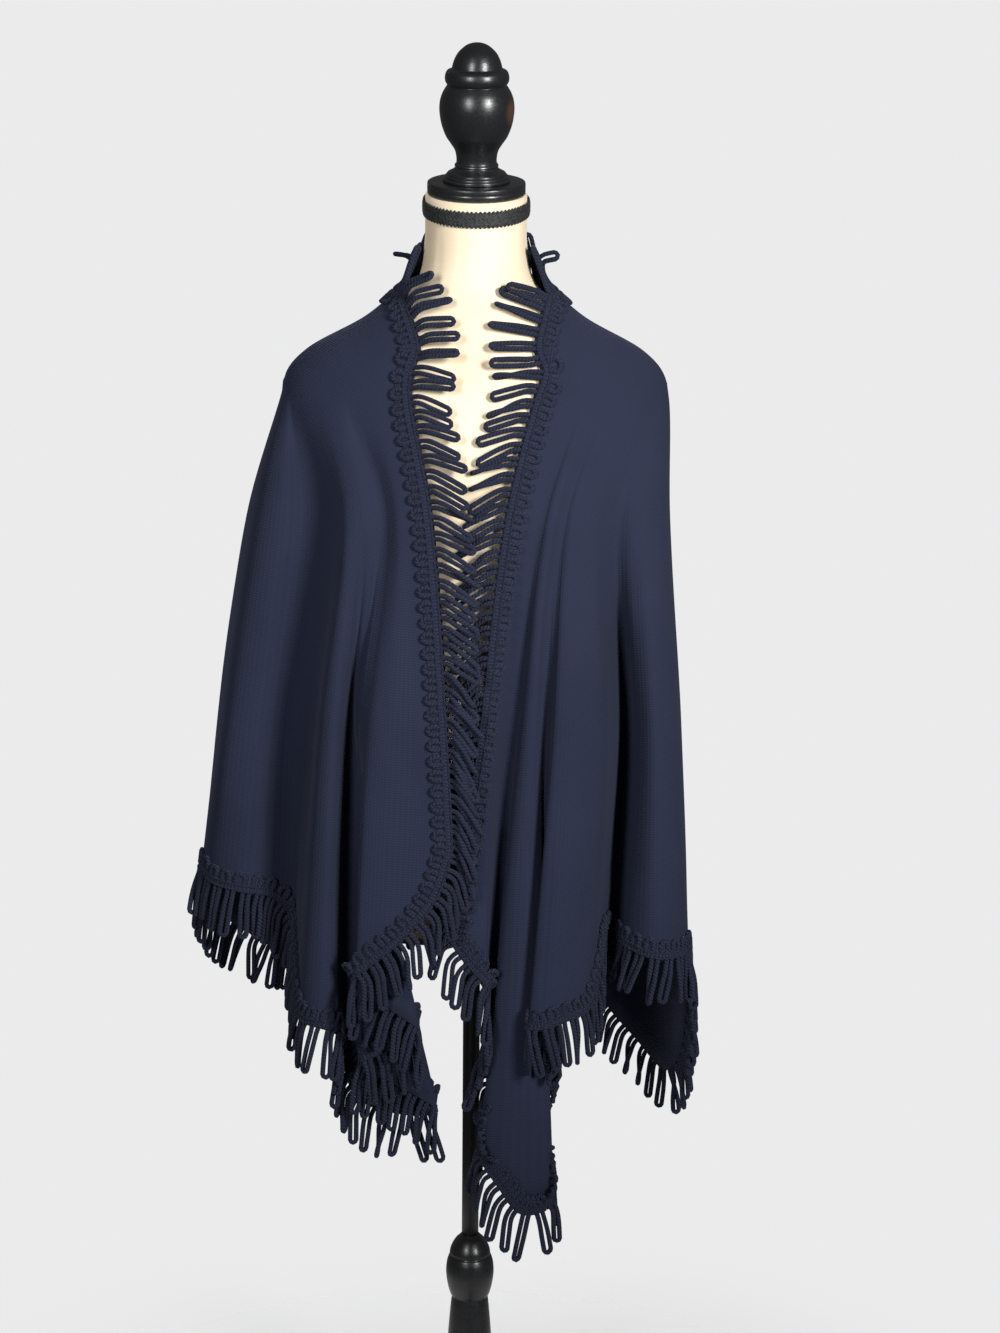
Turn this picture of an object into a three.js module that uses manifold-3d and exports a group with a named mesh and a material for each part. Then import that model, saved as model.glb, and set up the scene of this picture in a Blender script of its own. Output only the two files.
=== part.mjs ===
// A fringed shawl on a limbless dress form. Millimetres, +Z up, the front faces -Y.
// Everything is placed from the pole's axis, which stands at x = 0, y = 0 on the floor z = 0.
// The whole group is then shifted so that its box stands centred on the origin.
import * as THREE from 'three';
import { mergeVertices } from 'three/addons/utils/BufferGeometryUtils.js';
import Module from 'manifold-3d';

const wasm = await Module();
wasm.setup();

// Driving dimensions: cloth and fringe
const clothThickness = 2.0;
const clothClearance = 1.1;
const yokeClearance = 1.7;
const headingWidth = 20;
const headingThickness = 2.6;
const seamGap = 0.7;
const trimGap = 0.42;
const headingOverhang = 3;
const strandPitch = 34;
const strandLength = 46;
const strandRootWidth = 7;
const strandWidth = 12;
const strandTipWidth = 7;
const strandThickness = 2.2;

// Driving dimensions: dress form and stand
const neckRadius = 53.6;
const neckTopZ = 1404;
const neckTiltDeg = 15;
const torsoBottomZ = 635;
const poleRadius = 9.1;
const hubTopZ = 284;
const hubBottomZ = 58;
const braidWidth = 14;
const braidThickness = 1.8;
const baseBoardThickness = 9;
const legCount = 3;
const legThickness = 24;
const legReach = 262;
const fitGap = 0.3;

const radians = THREE.MathUtils.degToRad;

const paint = (hex, roughness, metalness = 0) =>
  new THREE.MeshStandardMaterial({ color: hex, roughness, metalness });
const colours = {
  knit: paint(0x2b2f4d, 0.9),
  fringe: paint(0x262a45, 0.85),
  jersey: paint(0xf0e6cf, 0.85),
  blackWood: paint(0x17181a, 0.35),
  blackMetal: paint(0x101113, 0.4),
  braid: paint(0x1c1e1f, 0.8),
  plainWood: paint(0x7a5236, 0.6),
};

const group = new THREE.Group();
group.name = 'fringed_shawl_on_dress_form';

function addPart(name, geometry, material) {
  const mesh = new THREE.Mesh(geometry, material);
  mesh.name = name;
  group.add(mesh);
  return mesh;
}

function rows(columns, table) {
  return table.map((row) => Object.fromEntries(columns.map((column, i) => [column, row[i]])));
}

// Dress form

// One row for each level of the torso: half width, half depth, middle in y and lean of the section
const torsoSections = rows(['z', 'halfWidth', 'halfDepth', 'middleY', 'leanDeg'], [
  [635, 144, 77, 0, 0],
  [680, 147, 79, 0, 0],
  [750, 143, 80, 0, 0],
  [820, 136, 84, 0, 0],
  [890, 138, 92, 0, 0],
  [950, 149, 101, -1, 0],
  [1010, 162, 108, -2, 0],
  [1060, 171, 110, -2, 0],
  [1110, 181, 107, -1, 0],
  [1155, 192, 101, 0, 0],
  [1190, 199, 92, 0, 0],
  [1212, 197, 85, 0, 0],
  [1230, 188, 79, 0, 0],
  [1248, 166, 73, 0, 0],
  [1266, 132, 67, 0, 0],
  [1284, 98, 62, 0, 2],
  [1303, 69, 58, 0, 4],
  [1325, 57, 55, 0, 8],
  [1360, neckRadius, neckRadius, 0, 12],
  [neckTopZ, neckRadius, neckRadius, 0, neckTiltDeg],
]);

function torsoSectionAt(z) {
  const last = torsoSections.length - 1;
  let k = torsoSections.findIndex((section) => section.z > z);
  if (k === -1) k = last;
  k = Math.max(k, 1);
  const [a, b] = [torsoSections[k - 1], torsoSections[k]];
  const t = THREE.MathUtils.clamp((z - a.z) / (b.z - a.z), 0, 1);
  const mix = (key) => THREE.MathUtils.lerp(a[key], b[key], t);
  return {
    halfWidth: mix('halfWidth'),
    halfDepth: mix('halfDepth'),
    middleY: mix('middleY'),
  };
}

// A point of the torso: the angle starts at the front and grows towards -X, the wearer's right
function torsoPoint(deg, z) {
  const { halfWidth, halfDepth, middleY } = torsoSectionAt(z);
  const a = radians(deg);
  return new THREE.Vector3(-halfWidth * Math.sin(a), middleY - halfDepth * Math.cos(a), z);
}

function torsoPointMovedOut(deg, z, distance) {
  const step = 4;
  const around = torsoPoint(deg - step, z).sub(torsoPoint(deg + step, z));
  const upward = torsoPoint(deg, z + step).sub(torsoPoint(deg, z - step));
  const outward = around.cross(upward).normalize();
  return torsoPoint(deg, z).addScaledVector(outward, distance);
}

// Pushes a point out to a given distance from the torso's side, if it is nearer
function clearOfTorso(point, distance) {
  if (point.z > neckTopZ || point.z < torsoBottomZ - distance) return point;
  const { halfWidth, halfDepth, middleY } = torsoSectionAt(point.z);
  const y = point.y - middleY;
  const reach = Math.hypot(point.x / (halfWidth + distance), y / (halfDepth + distance));
  if (reach < 1) {
    point.x /= reach;
    point.y = middleY + y / reach;
  }
  return point;
}

// A closed body from rings of equally many points, the first ring lowest
function loft(rings) {
  const n = rings[0].length;
  const positions = rings.flat().flatMap((p) => [p.x, p.y, p.z]);
  const index = [];
  for (let r = 0; r + 1 < rings.length; r++) {
    for (let i = 0; i < n; i++) {
      const j = (i + 1) % n;
      const [a, b, c, d] = [r * n + i, r * n + j, (r + 1) * n + j, (r + 1) * n + i];
      index.push(a, b, c, a, c, d);
    }
  }
  const addCap = (ring, flip) => {
    const first = ring * n;
    for (let i = 1; i + 1 < n; i++) {
      if (flip) index.push(first, first + i + 1, first + i);
      else index.push(first, first + i, first + i + 1);
    }
  };
  addCap(0, true);
  addCap(rings.length - 1, false);
  const geometry = new THREE.BufferGeometry();
  geometry.setAttribute('position', new THREE.Float32BufferAttribute(positions, 3));
  geometry.setIndex(index);
  return geometry;
}

const torsoSides = 32;

function torsoRing(section, inset = 0) {
  const ring = [];
  for (let i = 0; i < torsoSides; i++) {
    const a = (2 * Math.PI * i) / torsoSides;
    const x = (section.halfWidth - inset) * Math.cos(a);
    const y = section.middleY + (section.halfDepth - inset) * Math.sin(a);
    ring.push(new THREE.Vector3(x, y, section.z + Math.tan(radians(section.leanDeg)) * y));
  }
  return ring;
}

addPart('torso', loft(torsoSections.map((section) => torsoRing(section))), colours.jersey);

// The wooden board that closes the torso below stands in from its edge, more so at its lower face
const boardInset = { top: 6, bottom: 8 };
const boardSection = { ...torsoSections[0], z: torsoBottomZ - fitGap };
const boardRings = [
  torsoRing({ ...boardSection, z: boardSection.z - baseBoardThickness }, boardInset.bottom),
  torsoRing(boardSection, boardInset.top),
];
addPart('base_board', loft(boardRings), colours.plainWood);

// A turned piece: its outline runs from the axis at the bottom to the axis at the top
function turned(outline, sides) {
  const points = outline.map(([radius, height]) => new THREE.Vector2(radius, height));
  return new THREE.LatheGeometry(points, sides).rotateX(Math.PI / 2);
}

const turnedSides = 20;
const neckFacetAllowance = 0.2;

// The braid goes round the neck under the plate and leans as the neck does
function braidRing(height, radius) {
  const lean = Math.tan(radians(neckTiltDeg - 1));
  const ring = [];
  for (let i = 0; i < torsoSides; i++) {
    const a = (2 * Math.PI * i) / torsoSides;
    const y = radius * Math.sin(a);
    ring.push(new THREE.Vector3(radius * Math.cos(a), y, neckTopZ - height + lean * y));
  }
  return ring;
}

function tubeWall(outerRings, innerRings) {
  const n = outerRings[0].length;
  const loops = [outerRings[0], outerRings[1], innerRings[1], innerRings[0]];
  const positions = loops.flat().flatMap((p) => [p.x, p.y, p.z]);
  const index = [];
  for (let r = 0; r < 4; r++) {
    const s = (r + 1) % 4;
    for (let i = 0; i < n; i++) {
      const j = (i + 1) % n;
      index.push(r * n + i, r * n + j, s * n + j, r * n + i, s * n + j, s * n + i);
    }
  }
  const geometry = new THREE.BufferGeometry();
  geometry.setAttribute('position', new THREE.Float32BufferAttribute(positions, 3));
  geometry.setIndex(index);
  return geometry;
}

const braidTop = 5;
const braidInner = neckRadius + fitGap + neckFacetAllowance;
const braidOuter = braidInner + braidThickness;
const braidLevels = [braidTop + braidWidth, braidTop];
addPart(
  'neck_braid',
  tubeWall(
    braidLevels.map((height) => braidRing(height, braidOuter)),
    braidLevels.map((height) => braidRing(height, braidInner)),
  ),
  colours.braid,
);

// Neck plate and finial, turned on the neck's leaning axis: radius and height along that axis
const plateRadius = 50.7;
const plateHeight = 13;
const plateOutline = [
  [0, 0], [plateRadius - 1.5, 0], [plateRadius, 1.5], [plateRadius, plateHeight - 1.5],
  [plateRadius - 1.5, plateHeight], [0, plateHeight],
];
const finialOutline = [
  [0, 0], [34.5, 0], [34.5, 4], [32.5, 5.5], [31.5, 8], [28, 11], [21.5, 16], [20.8, 22], [22.4, 31],
  [26.5, 38], [31.8, 46], [36.2, 58], [38.2, 71], [37.6, 81], [35, 89], [30.2, 96.5], [32.2, 100],
  [32.6, 105], [30.8, 111], [25.6, 113.5], [23.6, 121], [19, 129], [11.5, 135.5], [0, 138.5],
];

const neckAxis = new THREE.Group();
neckAxis.position.z = neckTopZ + fitGap;
neckAxis.rotation.x = radians(neckTiltDeg);
const plate = addPart('neck_plate', turned(plateOutline, turnedSides), colours.blackWood);
const finial = addPart('finial', turned(finialOutline, turnedSides), colours.blackWood);
finial.position.z = plateHeight + fitGap;
neckAxis.add(plate, finial);
group.add(neckAxis);

// Pole, hub and legs
const poleTop = torsoBottomZ - fitGap - baseBoardThickness - fitGap;
const pole = new THREE.CylinderGeometry(poleRadius, poleRadius, poleTop - hubTopZ - fitGap, 24);
pole.rotateX(Math.PI / 2).translate(0, 0, (poleTop + hubTopZ + fitGap) / 2);
addPart('pole', pole, colours.blackMetal);

const hubOutline = [
  [0, hubBottomZ], [26, hubBottomZ], [28, hubBottomZ + 4], [28, 82], [26.5, 120], [24, 166], [20.2, 213],
  [22.5, 221], [25.2, 231], [26.2, 242], [25.2, 253], [23, 260], [22.2, 262], [21.2, 268], [16.5, 278],
  [11.5, 283], [9.5, hubTopZ], [0, hubTopZ],
];
addPart('hub', turned(hubOutline, turnedSides), colours.blackWood);

// A leg is sawn from board: its outline is drawn as reach from the axis and height
function legShape() {
  const rootReach = 28 + fitGap;
  const shape = new THREE.Shape();
  shape.moveTo(rootReach, 128);
  shape.bezierCurveTo(95, 128, 150, 92, 196, 44);
  shape.bezierCurveTo(214, 27, 236, 24, legReach, 22);
  shape.lineTo(legReach, 0);
  shape.lineTo(222, 0);
  shape.bezierCurveTo(196, 4, 178, 22, 160, 40);
  shape.bezierCurveTo(128, 72, 84, 84, rootReach, 86);
  shape.closePath();
  return shape;
}

const legSettings = { depth: legThickness, bevelEnabled: false, curveSegments: 7 };
for (let k = 0; k < legCount; k++) {
  const leg = new THREE.ExtrudeGeometry(legShape(), legSettings);
  leg.translate(0, 0, -legThickness / 2).rotateX(Math.PI / 2);
  addPart(`leg_${k + 1}`, leg, colours.blackWood).rotation.z = radians(-90 + (360 / legCount) * k);
}

// Shawl

// One row for each fold line, from the left front edge round the back to the right front edge, left and
// right as seen from the front. neck and shoulder are angles round the form, chest and waist are places
// at two levels, and hem is the place and height where the line ends.
const chestZ = 1080;
const waistZ = 840;
const foldLines = rows(
  ['neck', 'shoulder', 'chestX', 'chestY', 'waistX', 'waistY', 'hemX', 'hemY', 'hemZ'],
  [
    // left front edge, rounded corner and flat front panel
    [64, 18.5, -41, -124, -23, -133, -18, -132, 743],
    [67.5, 21.5, -54, -123, -39, -134, -35, -134, 691],
    [71, 25, -69, -120, -60, -133, -68, -134, 650],
    [74, 29, -77, -117, -87, -134, -95, -134, 627],
    [76.5, 33, -84, -110, -103, -130, -117, -133, 607],
    // the tail under it: layers turned back on each other, right and left
    [77.6, 34.5, -88, -106, -109, -123, -117, -129, 595],
    [78.2, 36, -91, -104.5, -111, -116, -78, -127, 571],
    [78.8, 37, -94, -104, -113, -109, -52, -117, 544],
    [79.4, 38, -97, -104.5, -114, -103, -78, -111, 528],
    [79.9, 38.8, -99, -106, -115.5, -98, -111, -109, 512],
    [80.2, 39.4, -101, -107.5, -116.5, -95, -111, -101, 504],
    [80.6, 40, -103, -109, -117.5, -90, -60, -96, 474],
    [81.2, 41, -106, -110.5, -118, -85, -34, -88, 453],
    [81.8, 42, -109, -111.5, -120, -79, -62, -77, 445],
    [82.4, 43, -112, -112, -125, -75, -121, -72, 462],
    // second front fold
    [83, 44.5, -116, -112, -131, -80, -137, -84, 524],
    [84, 46, -120, -112, -135, -97, -140, -104, 541],
    [85.5, 49, -127, -109, -143, -110, -155, -117, 551],
    [87, 53, -134, -100, -155, -103, -174, -105, 555],
    // broad valley and outer fold
    [88.5, 58, -145, -80, -165, -62, -185, -60, 597],
    [90, 63, -158, -63, -181, -34, -190, -28, 641],
    [92, 69, -176, -58, -205, -32, -214, -32, 667],
    [94, 75, -197, -67, -226, -53, -242, -48, 677],
    [96, 81, -218, -57, -253, -47, -272, -34, 683],
    [99, 89, -233, -18, -270, -6, -289, -3, 693],
    // left side and back, crest and valley by turns
    [104, 99, -236, 20, -274, 38, -284, 46, 640],
    [110, 108, -226, 58, -258, 80, -254, 92, 600],
    [118, 118, -200, 86, -226, 96, -222, 104, 578],
    [127, 128, -170, 108, -196, 132, -198, 146, 570],
    [136, 139, -136, 119, -156, 124, -160, 122, 578],
    [146, 150, -103, 128, -118, 148, -122, 160, 592],
    [157, 161, -68, 130, -76, 136, -80, 134, 615],
    [168, 171, -33, 133, -36, 154, -40, 164, 632],
    [180, 180, 2, 131, 2, 139, 2, 139, 638],
    [192, 189, 36, 133, 40, 155, 44, 166, 630],
    [203, 199, 70, 129, 78, 137, 82, 138, 602],
    [214, 210, 103, 125, 116, 142, 122, 149, 566],
    [224, 221, 133, 114, 148, 120, 152, 121, 510],
    [233, 232, 160, 98, 184, 112, 190, 118, 466],
    [242, 242, 182, 78, 205, 84, 219, 92, 441],
    [250, 251, 198, 50, 217, 52, 232, 58, 470],
    [257, 261, 205, 18, 222, 22, 236, 26, 548],
    // right side, outer fold and deep valley
    [262, 270, 204, -10, 221, -5, 233, 0, 602],
    [264.5, 278, 194, -42, 211, -42, 222, -42, 608],
    [267, 286, 176, -64, 188, -67, 192, -64, 611],
    [269.5, 292, 161, -70, 173, -50, 166, -46, 619],
    [272, 298, 147, -70, 159, -4, 149, -2, 628],
    [274, 303, 134, -81, 146, -46, 134, -46, 628],
    // right middle fold, turned back over the long tail
    [276, 308, 123, -92, 132, -93, 120, -95, 566],
    [278, 313, 109, -101, 110, -112, 93, -118, 558],
    [279.5, 317, 99, -107, 89, -117, 75, -125, 553],
    [280.5, 318.8, 95.5, -106.5, 82, -115, 60, -122, 551],
    [280.9, 319.5, 93.5, -105.5, 80.5, -110, 62, -114, 549],
    [281.3, 320.3, 91.5, -105.5, 80.5, -104, 86, -107, 541],
    [282, 321.5, 89, -107, 79, -98, 94, -84, 510],
    [282.5, 322.3, 86.5, -109, 74, -93, 71, -67, 438],
    // long right tail
    [283, 323.2, 84, -111.5, 68, -99, 85, -92, 353],
    [284, 325, 80, -115, 59, -108, 54, -101, 345],
    [285, 326.5, 75, -115, 52, -107, 28, -102, 377],
    [286, 328, 71.5, -112, 46, -99, 12, -94, 405],
    // the valley beside it, the narrow flap and the right front edge
    [287, 329.5, 68, -111, 43, -89, 22, -76, 464],
    [288, 331, 63, -111.5, 33, -88, 12, -76, 513],
    [289.3, 332.8, 57, -114, 27, -98, 14, -100, 564],
    [291, 334.8, 50, -118, 20, -114, 13, -115, 592],
    [293.5, 337.2, 42, -120, 12, -118, -4, -118, 616],
    [297, 340, 30, -120, 2, -117, -25, -115, 645],
  ],
);

// Neckline: an ellipse round the form's neck that stands up at the back
const neckline = { halfWidth: 80, halfDepth: 70, middleY: 4, frontZ: 1303, backZ: 1335 };

function necklinePoint(deg) {
  const a = radians(deg);
  const rise = (1 - Math.cos((Math.PI * (deg - 70)) / 110)) / 2;
  return new THREE.Vector3(
    -neckline.halfWidth * Math.sin(a),
    neckline.middleY - neckline.halfDepth * Math.cos(a),
    THREE.MathUtils.lerp(neckline.frontZ, neckline.backZ, rise),
  );
}

// Each fold line passes through these places, from the neckline over the shoulder to the hem
const yokeLevels = [{ z: 1277, turn: 0.65 }, { z: 1243, turn: 1 }, { z: 1222, turn: 1 }];
const armLevelZ = 1198;
const clothOffset = clothThickness / 2 + clothClearance;
const yokeOffset = clothThickness / 2 + yokeClearance;

function foldLinePlaces(line) {
  const chestDeg = THREE.MathUtils.radToDeg(Math.atan2(-line.chestX, -line.chestY));
  const chestTurn = chestDeg < 0 ? chestDeg + 360 : chestDeg;
  const yoke = yokeLevels.map(({ z, turn }) =>
    torsoPointMovedOut(THREE.MathUtils.lerp(line.neck, line.shoulder, turn), z, yokeOffset));
  return [
    necklinePoint(line.neck),
    ...yoke,
    torsoPointMovedOut(THREE.MathUtils.lerp(line.shoulder, chestTurn, 0.5), armLevelZ, yokeOffset),
    new THREE.Vector3(line.chestX, line.chestY, chestZ),
    new THREE.Vector3(line.waistX, line.waistY, waistZ),
    new THREE.Vector3(line.hemX, line.hemY, line.hemZ),
  ];
}

const smooth = (points) => new THREE.CatmullRomCurve3(points, false, 'centripetal');
const places = foldLines.map(foldLinePlaces);
const levels = places[0].map((_, level) => smooth(places.map((line) => line[level])));

// The cloth's middle surface: u runs along the fold lines' order, v from neckline to hem, both 0 to 1
function dropLine(u) {
  return smooth(levels.map((level) => level.getPoint(u)));
}

const columnsPerFold = 2;
const columnCount = (foldLines.length - 1) * columnsPerFold;
const rowStops = [0, 0.07, 0.143, 0.286, 0.36, 0.43, 0.5, 0.571, 0.66, 0.75, 0.857, 0.905, 0.95, 1];

// Rows of points down each column; the last row but one lies a heading's width above the hem
function clothGrid() {
  const grid = [];
  for (let i = 0; i <= columnCount; i++) {
    const line = dropLine(i / columnCount);
    const hemSpan = line.getPoint(0.93).distanceTo(line.getPoint(1)) / 0.07;
    const lastStop = 1 - headingWidth / hemSpan;
    const stops = [...rowStops.map((stop) => stop * lastStop), 1];
    grid.push(stops.map((v) => clearOfTorso(line.getPoint(v), clothOffset)));
  }
  return grid;
}

const grid = clothGrid();
const lastRow = grid[0].length - 1;

function gridNormal(i, j) {
  const [west, east] = [grid[Math.max(i - 1, 0)][j], grid[Math.min(i + 1, columnCount)][j]];
  const [above, below] = [grid[i][Math.max(j - 1, 0)], grid[i][Math.min(j + 1, lastRow)]];
  const along = east.clone().sub(west);
  const down = below.clone().sub(above);
  return along.cross(down).normalize();
}

const normals = grid.map((column, i) => column.map((_, j) => gridNormal(i, j)));

function movedOut(i, j, distance) {
  return grid[i][j].clone().addScaledVector(normals[i][j], distance);
}

const insideGrid = (i, j) => i >= 0 && i < columnCount && j >= 0 && j < lastRow;

const allColumns = grid.map((_, i) => i);

// A closed slab over the chosen cells of the grid, between two distances from the middle surface
function slab(isChosen, inner, outer, place = movedOut, columns = allColumns) {
  const hasCell = (c, j) =>
    c >= 0 && c + 1 < columns.length && insideGrid(columns[c], j) && isChosen(columns[c], j);
  const positions = [];
  const index = [];
  const numbers = new Map();
  const vertex = (i, j, side) => {
    const key = `${i},${j},${side}`;
    if (!numbers.has(key)) {
      const p = place(i, j, side === 'outer' ? outer : inner);
      numbers.set(key, positions.length / 3);
      positions.push(p.x, p.y, p.z);
    }
    return numbers.get(key);
  };
  const wall = (a, b) => {
    const [ao, bo] = [vertex(...a, 'outer'), vertex(...b, 'outer')];
    const [ai, bi] = [vertex(...a, 'inner'), vertex(...b, 'inner')];
    index.push(bo, ao, ai, bo, ai, bi);
  };
  for (let c = 0; c + 1 < columns.length; c++) {
    for (let j = 0; j < lastRow; j++) {
      if (!hasCell(c, j)) continue;
      const [i, next] = [columns[c], columns[c + 1]];
      const corners = [[i, j], [next, j], [next, j + 1], [i, j + 1]];
      const [o0, o1, o2, o3] = corners.map((corner) => vertex(...corner, 'outer'));
      index.push(o0, o1, o2, o0, o2, o3);
      const [i0, i1, i2, i3] = corners.map((corner) => vertex(...corner, 'inner'));
      index.push(i0, i2, i1, i0, i3, i2);
      if (!hasCell(c, j - 1)) wall(corners[0], corners[1]);
      if (!hasCell(c + 1, j)) wall(corners[1], corners[2]);
      if (!hasCell(c, j + 1)) wall(corners[2], corners[3]);
      if (!hasCell(c - 1, j)) wall(corners[3], corners[0]);
    }
  }
  const geometry = new THREE.BufferGeometry();
  geometry.setAttribute('position', new THREE.Float32BufferAttribute(positions, 3));
  geometry.setIndex(index);
  return geometry;
}

addPart('shawl_cloth', slab(insideGrid, -clothThickness / 2, clothThickness / 2), colours.knit);

// Fringe

// How many columns of the grid the heading covers along each front edge
const frontCells = 2;

// The way out of the cloth at its rim, in the cloth's own surface
function rimOutward(i, j) {
  const atLeft = i === 0;
  const atRight = i === columnCount;
  const point = grid[i][j];
  if (atLeft && j < lastRow) return point.clone().sub(grid[1][j]).normalize();
  if (atRight && j < lastRow) return point.clone().sub(grid[columnCount - 1][j]).normalize();
  const before = grid[Math.max(i - 1, 0)][j];
  const after = grid[Math.min(i + 1, columnCount)][j];
  const along = after.clone().sub(before).normalize();
  const outward = along.cross(normals[i][j]).normalize();
  return j === 0 ? outward : outward.negate();
}

function headingPlace(i, j, distance) {
  const point = movedOut(i, j, distance);
  const onRim = i === 0 || i === columnCount || j === 0 || j === lastRow;
  return onRim ? point.addScaledVector(rimOutward(i, j), headingOverhang) : point;
}

const headingInner = clothThickness / 2 + seamGap;
const headingOuter = headingInner + headingThickness;

// How far a loop of the front edges has dropped from straight out, by height: bent down more below
const droops = rows(['z', 'deg'], [[700, 62], [950, 60], [1080, 50], [1180, 34], [1240, 16], [1300, 4]]);

function droopAt(z) {
  let k = droops.findIndex((droop) => droop.z > z);
  if (k === -1) k = droops.length - 1;
  k = Math.max(k, 1);
  const [a, b] = [droops[k - 1], droops[k]];
  return THREE.MathUtils.mapLinear(THREE.MathUtils.clamp(z, a.z, b.z), a.z, b.z, a.deg, b.deg);
}

const hemDroop = 74;
const down = new THREE.Vector3(0, 0, -1);
const up = new THREE.Vector3(0, 0, 1);

// Which way a strand hangs from its root: loops at the hem hang down, those at the neck stand up
function strandWay(root, outward, rim) {
  if (rim === 'neck') return outward.clone().multiplyScalar(0.35).addScaledVector(up, 0.94).normalize();
  const turn = radians(rim === 'hem' ? hemDroop : droopAt(root.z));
  return outward.clone().multiplyScalar(Math.cos(turn)).addScaledVector(down, Math.sin(turn)).normalize();
}

const strandClearance = 4;

// How far the strands stand off the cloth; the left front's lie over the right front's
const strandLift = { neck: 0, left: 7, right: 0, hem: 2 };

function strand({ root, outward, normal, rim }) {
  const way = strandWay(root, outward, rim);
  const across = normal.clone().cross(way).normalize();
  const stops = [
    { reach: -headingOverhang * 0.4, width: strandRootWidth, thickness: strandThickness * 0.5 },
    { reach: strandLength * 0.6, width: strandWidth, thickness: strandThickness },
    { reach: strandLength, width: strandTipWidth, thickness: strandThickness },
  ];
  const rings = stops.map(({ reach, width, thickness }, k) => {
    const centre = root.clone().addScaledVector(k === 0 ? outward : way, reach);
    if (k > 0) {
      centre.addScaledVector(normal, strandLift[rim]);
      clearOfTorso(centre, strandClearance);
    }
    const side = across.clone().multiplyScalar(width / 2);
    const thick = normal.clone().multiplyScalar(thickness / 2);
    return [
      centre.clone().sub(side).sub(thick), centre.clone().add(side).sub(thick),
      centre.clone().add(side).add(thick), centre.clone().sub(side).add(thick),
    ];
  });
  return loft(rings);
}

// Evenly spaced roots along a run of rim points
function rootsAlong(run) {
  const mid = (headingInner + headingOuter) / 2;
  const points = run.map(({ i, j }) => headingPlace(i, j, mid));
  const lengths = [0];
  points.slice(1).forEach((p, k) => lengths.push(lengths[k] + p.distanceTo(points[k])));
  const total = lengths.at(-1);
  const count = Math.max(1, Math.round(total / strandPitch));
  const roots = [];
  for (let n = 0; n < count; n++) {
    const s = ((n + 0.5) * total) / count;
    const k = Math.max(1, lengths.findIndex((length) => length >= s));
    const t = (s - lengths[k - 1]) / (lengths[k] - lengths[k - 1]);
    const blend = (of) => of(run[k - 1]).clone().lerp(of(run[k]), t).normalize();
    roots.push({
      root: points[k - 1].clone().lerp(points[k], t),
      outward: blend(({ i, j }) => rimOutward(i, j)),
      normal: blend(({ i, j }) => normals[i][j]),
      rim: run[k].rim,
    });
  }
  return roots;
}

function toSolid(geometry) {
  const bare = geometry.clone();
  bare.deleteAttribute('normal');
  bare.deleteAttribute('uv');
  const merged = mergeVertices(bare, 1e-4);
  return new wasm.Manifold(new wasm.Mesh({
    numProp: 3,
    vertProperties: new Float32Array(merged.getAttribute('position').array),
    triVerts: new Uint32Array(merged.getIndex().array),
  }));
}

function toGeometry(solid) {
  const mesh = solid.getMesh();
  const geometry = new THREE.BufferGeometry();
  geometry.setAttribute('position', new THREE.Float32BufferAttribute(mesh.vertProperties, 3));
  geometry.setIndex([...mesh.triVerts]);
  return geometry;
}

const clothAround = (half) => toSolid(slab(insideGrid, -half, half));
const grownCloth = [0.05, 0.5, 1]
  .map((share) => clothAround(clothThickness / 2 + share * trimGap))
  .reduce((whole, layer) => whole.add(layer));

const meshTolerance = 0.08;
const sliverTolerance = 0.02;

// A stretch of fringe: the heading lies on the cloth's outer face, and the strands hang from its edge.
// Where a fold is too tight for it, it is cut back to the cloth with the seam's gap.
function fringe(name, run, isChosen, columns) {
  let solid = toSolid(slab(isChosen, headingInner, headingOuter, headingPlace, columns));
  for (const root of rootsAlong(run)) solid = solid.add(toSolid(strand(root)));
  const pieces = solid.asOriginal().simplify(meshTolerance).subtract(grownCloth).decompose();
  const whole = pieces.reduce((best, piece) => (piece.volume() > best.volume() ? piece : best));
  addPart(name, toGeometry(whole.asOriginal().simplify(sliverTolerance)), colours.fringe);
}

// The neck's heading needs few columns where the fold lines crowd together
const neckColumnSpacing = 9;
const neckColumns = allColumns.filter((i) => i > 0 && i < columnCount).reduce((kept, i) => {
  const far = !kept.length || grid[i][0].distanceTo(grid[kept.at(-1)][0]) > neckColumnSpacing;
  return far ? [...kept, i] : kept;
}, []);
const neckRun = neckColumns.map((i) => ({ i, j: 0, rim: 'neck' }));
fringe('fringe_neck', neckRun, (i, j) => j === 0, neckColumns);

const firstFrontRow = 1;
const frontRun = (i, rim) => grid[0].map((_, j) => ({ i, j, rim })).slice(firstFrontRow);
const hemRun = (from, to) =>
  grid.slice(from, to + 1).map((_, k) => ({ i: from + k, j: lastRow, rim: 'hem' }));
const isHem = (from, to) => (i, j) => j === lastRow - 1 && i >= from && i < to;

// Columns where one stretch of the hem's fringe ends and the next begins. In both tails only the
// lowest layer has solids for its fringe, because the others lie too close on each other.
const hemBreaks = {
  leftCorner: 8, leftTailTop: 24, leftTail: 30, leftSide: 52, back: 78, rightSide: 102, rightTailTop: 113,
  rightTail: 122,
};

fringe(
  'fringe_front_left',
  [...frontRun(0, 'left'), ...hemRun(1, hemBreaks.leftCorner)],
  (i, j) => (i < frontCells && j >= firstFrontRow && j < lastRow) || isHem(0, hemBreaks.leftCorner)(i, j),
);
const hemStretches = [
  ['fringe_tail_left', hemBreaks.leftTailTop, hemBreaks.leftTail],
  ['fringe_side_left', hemBreaks.leftTail, hemBreaks.leftSide],
  ['fringe_back', hemBreaks.leftSide, hemBreaks.back],
  ['fringe_side_right', hemBreaks.back, hemBreaks.rightSide],
  ['fringe_tail_right', hemBreaks.rightTailTop, hemBreaks.rightTail],
];
for (const [name, from, to] of hemStretches) fringe(name, hemRun(from + 1, to), isHem(from + 1, to));

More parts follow.
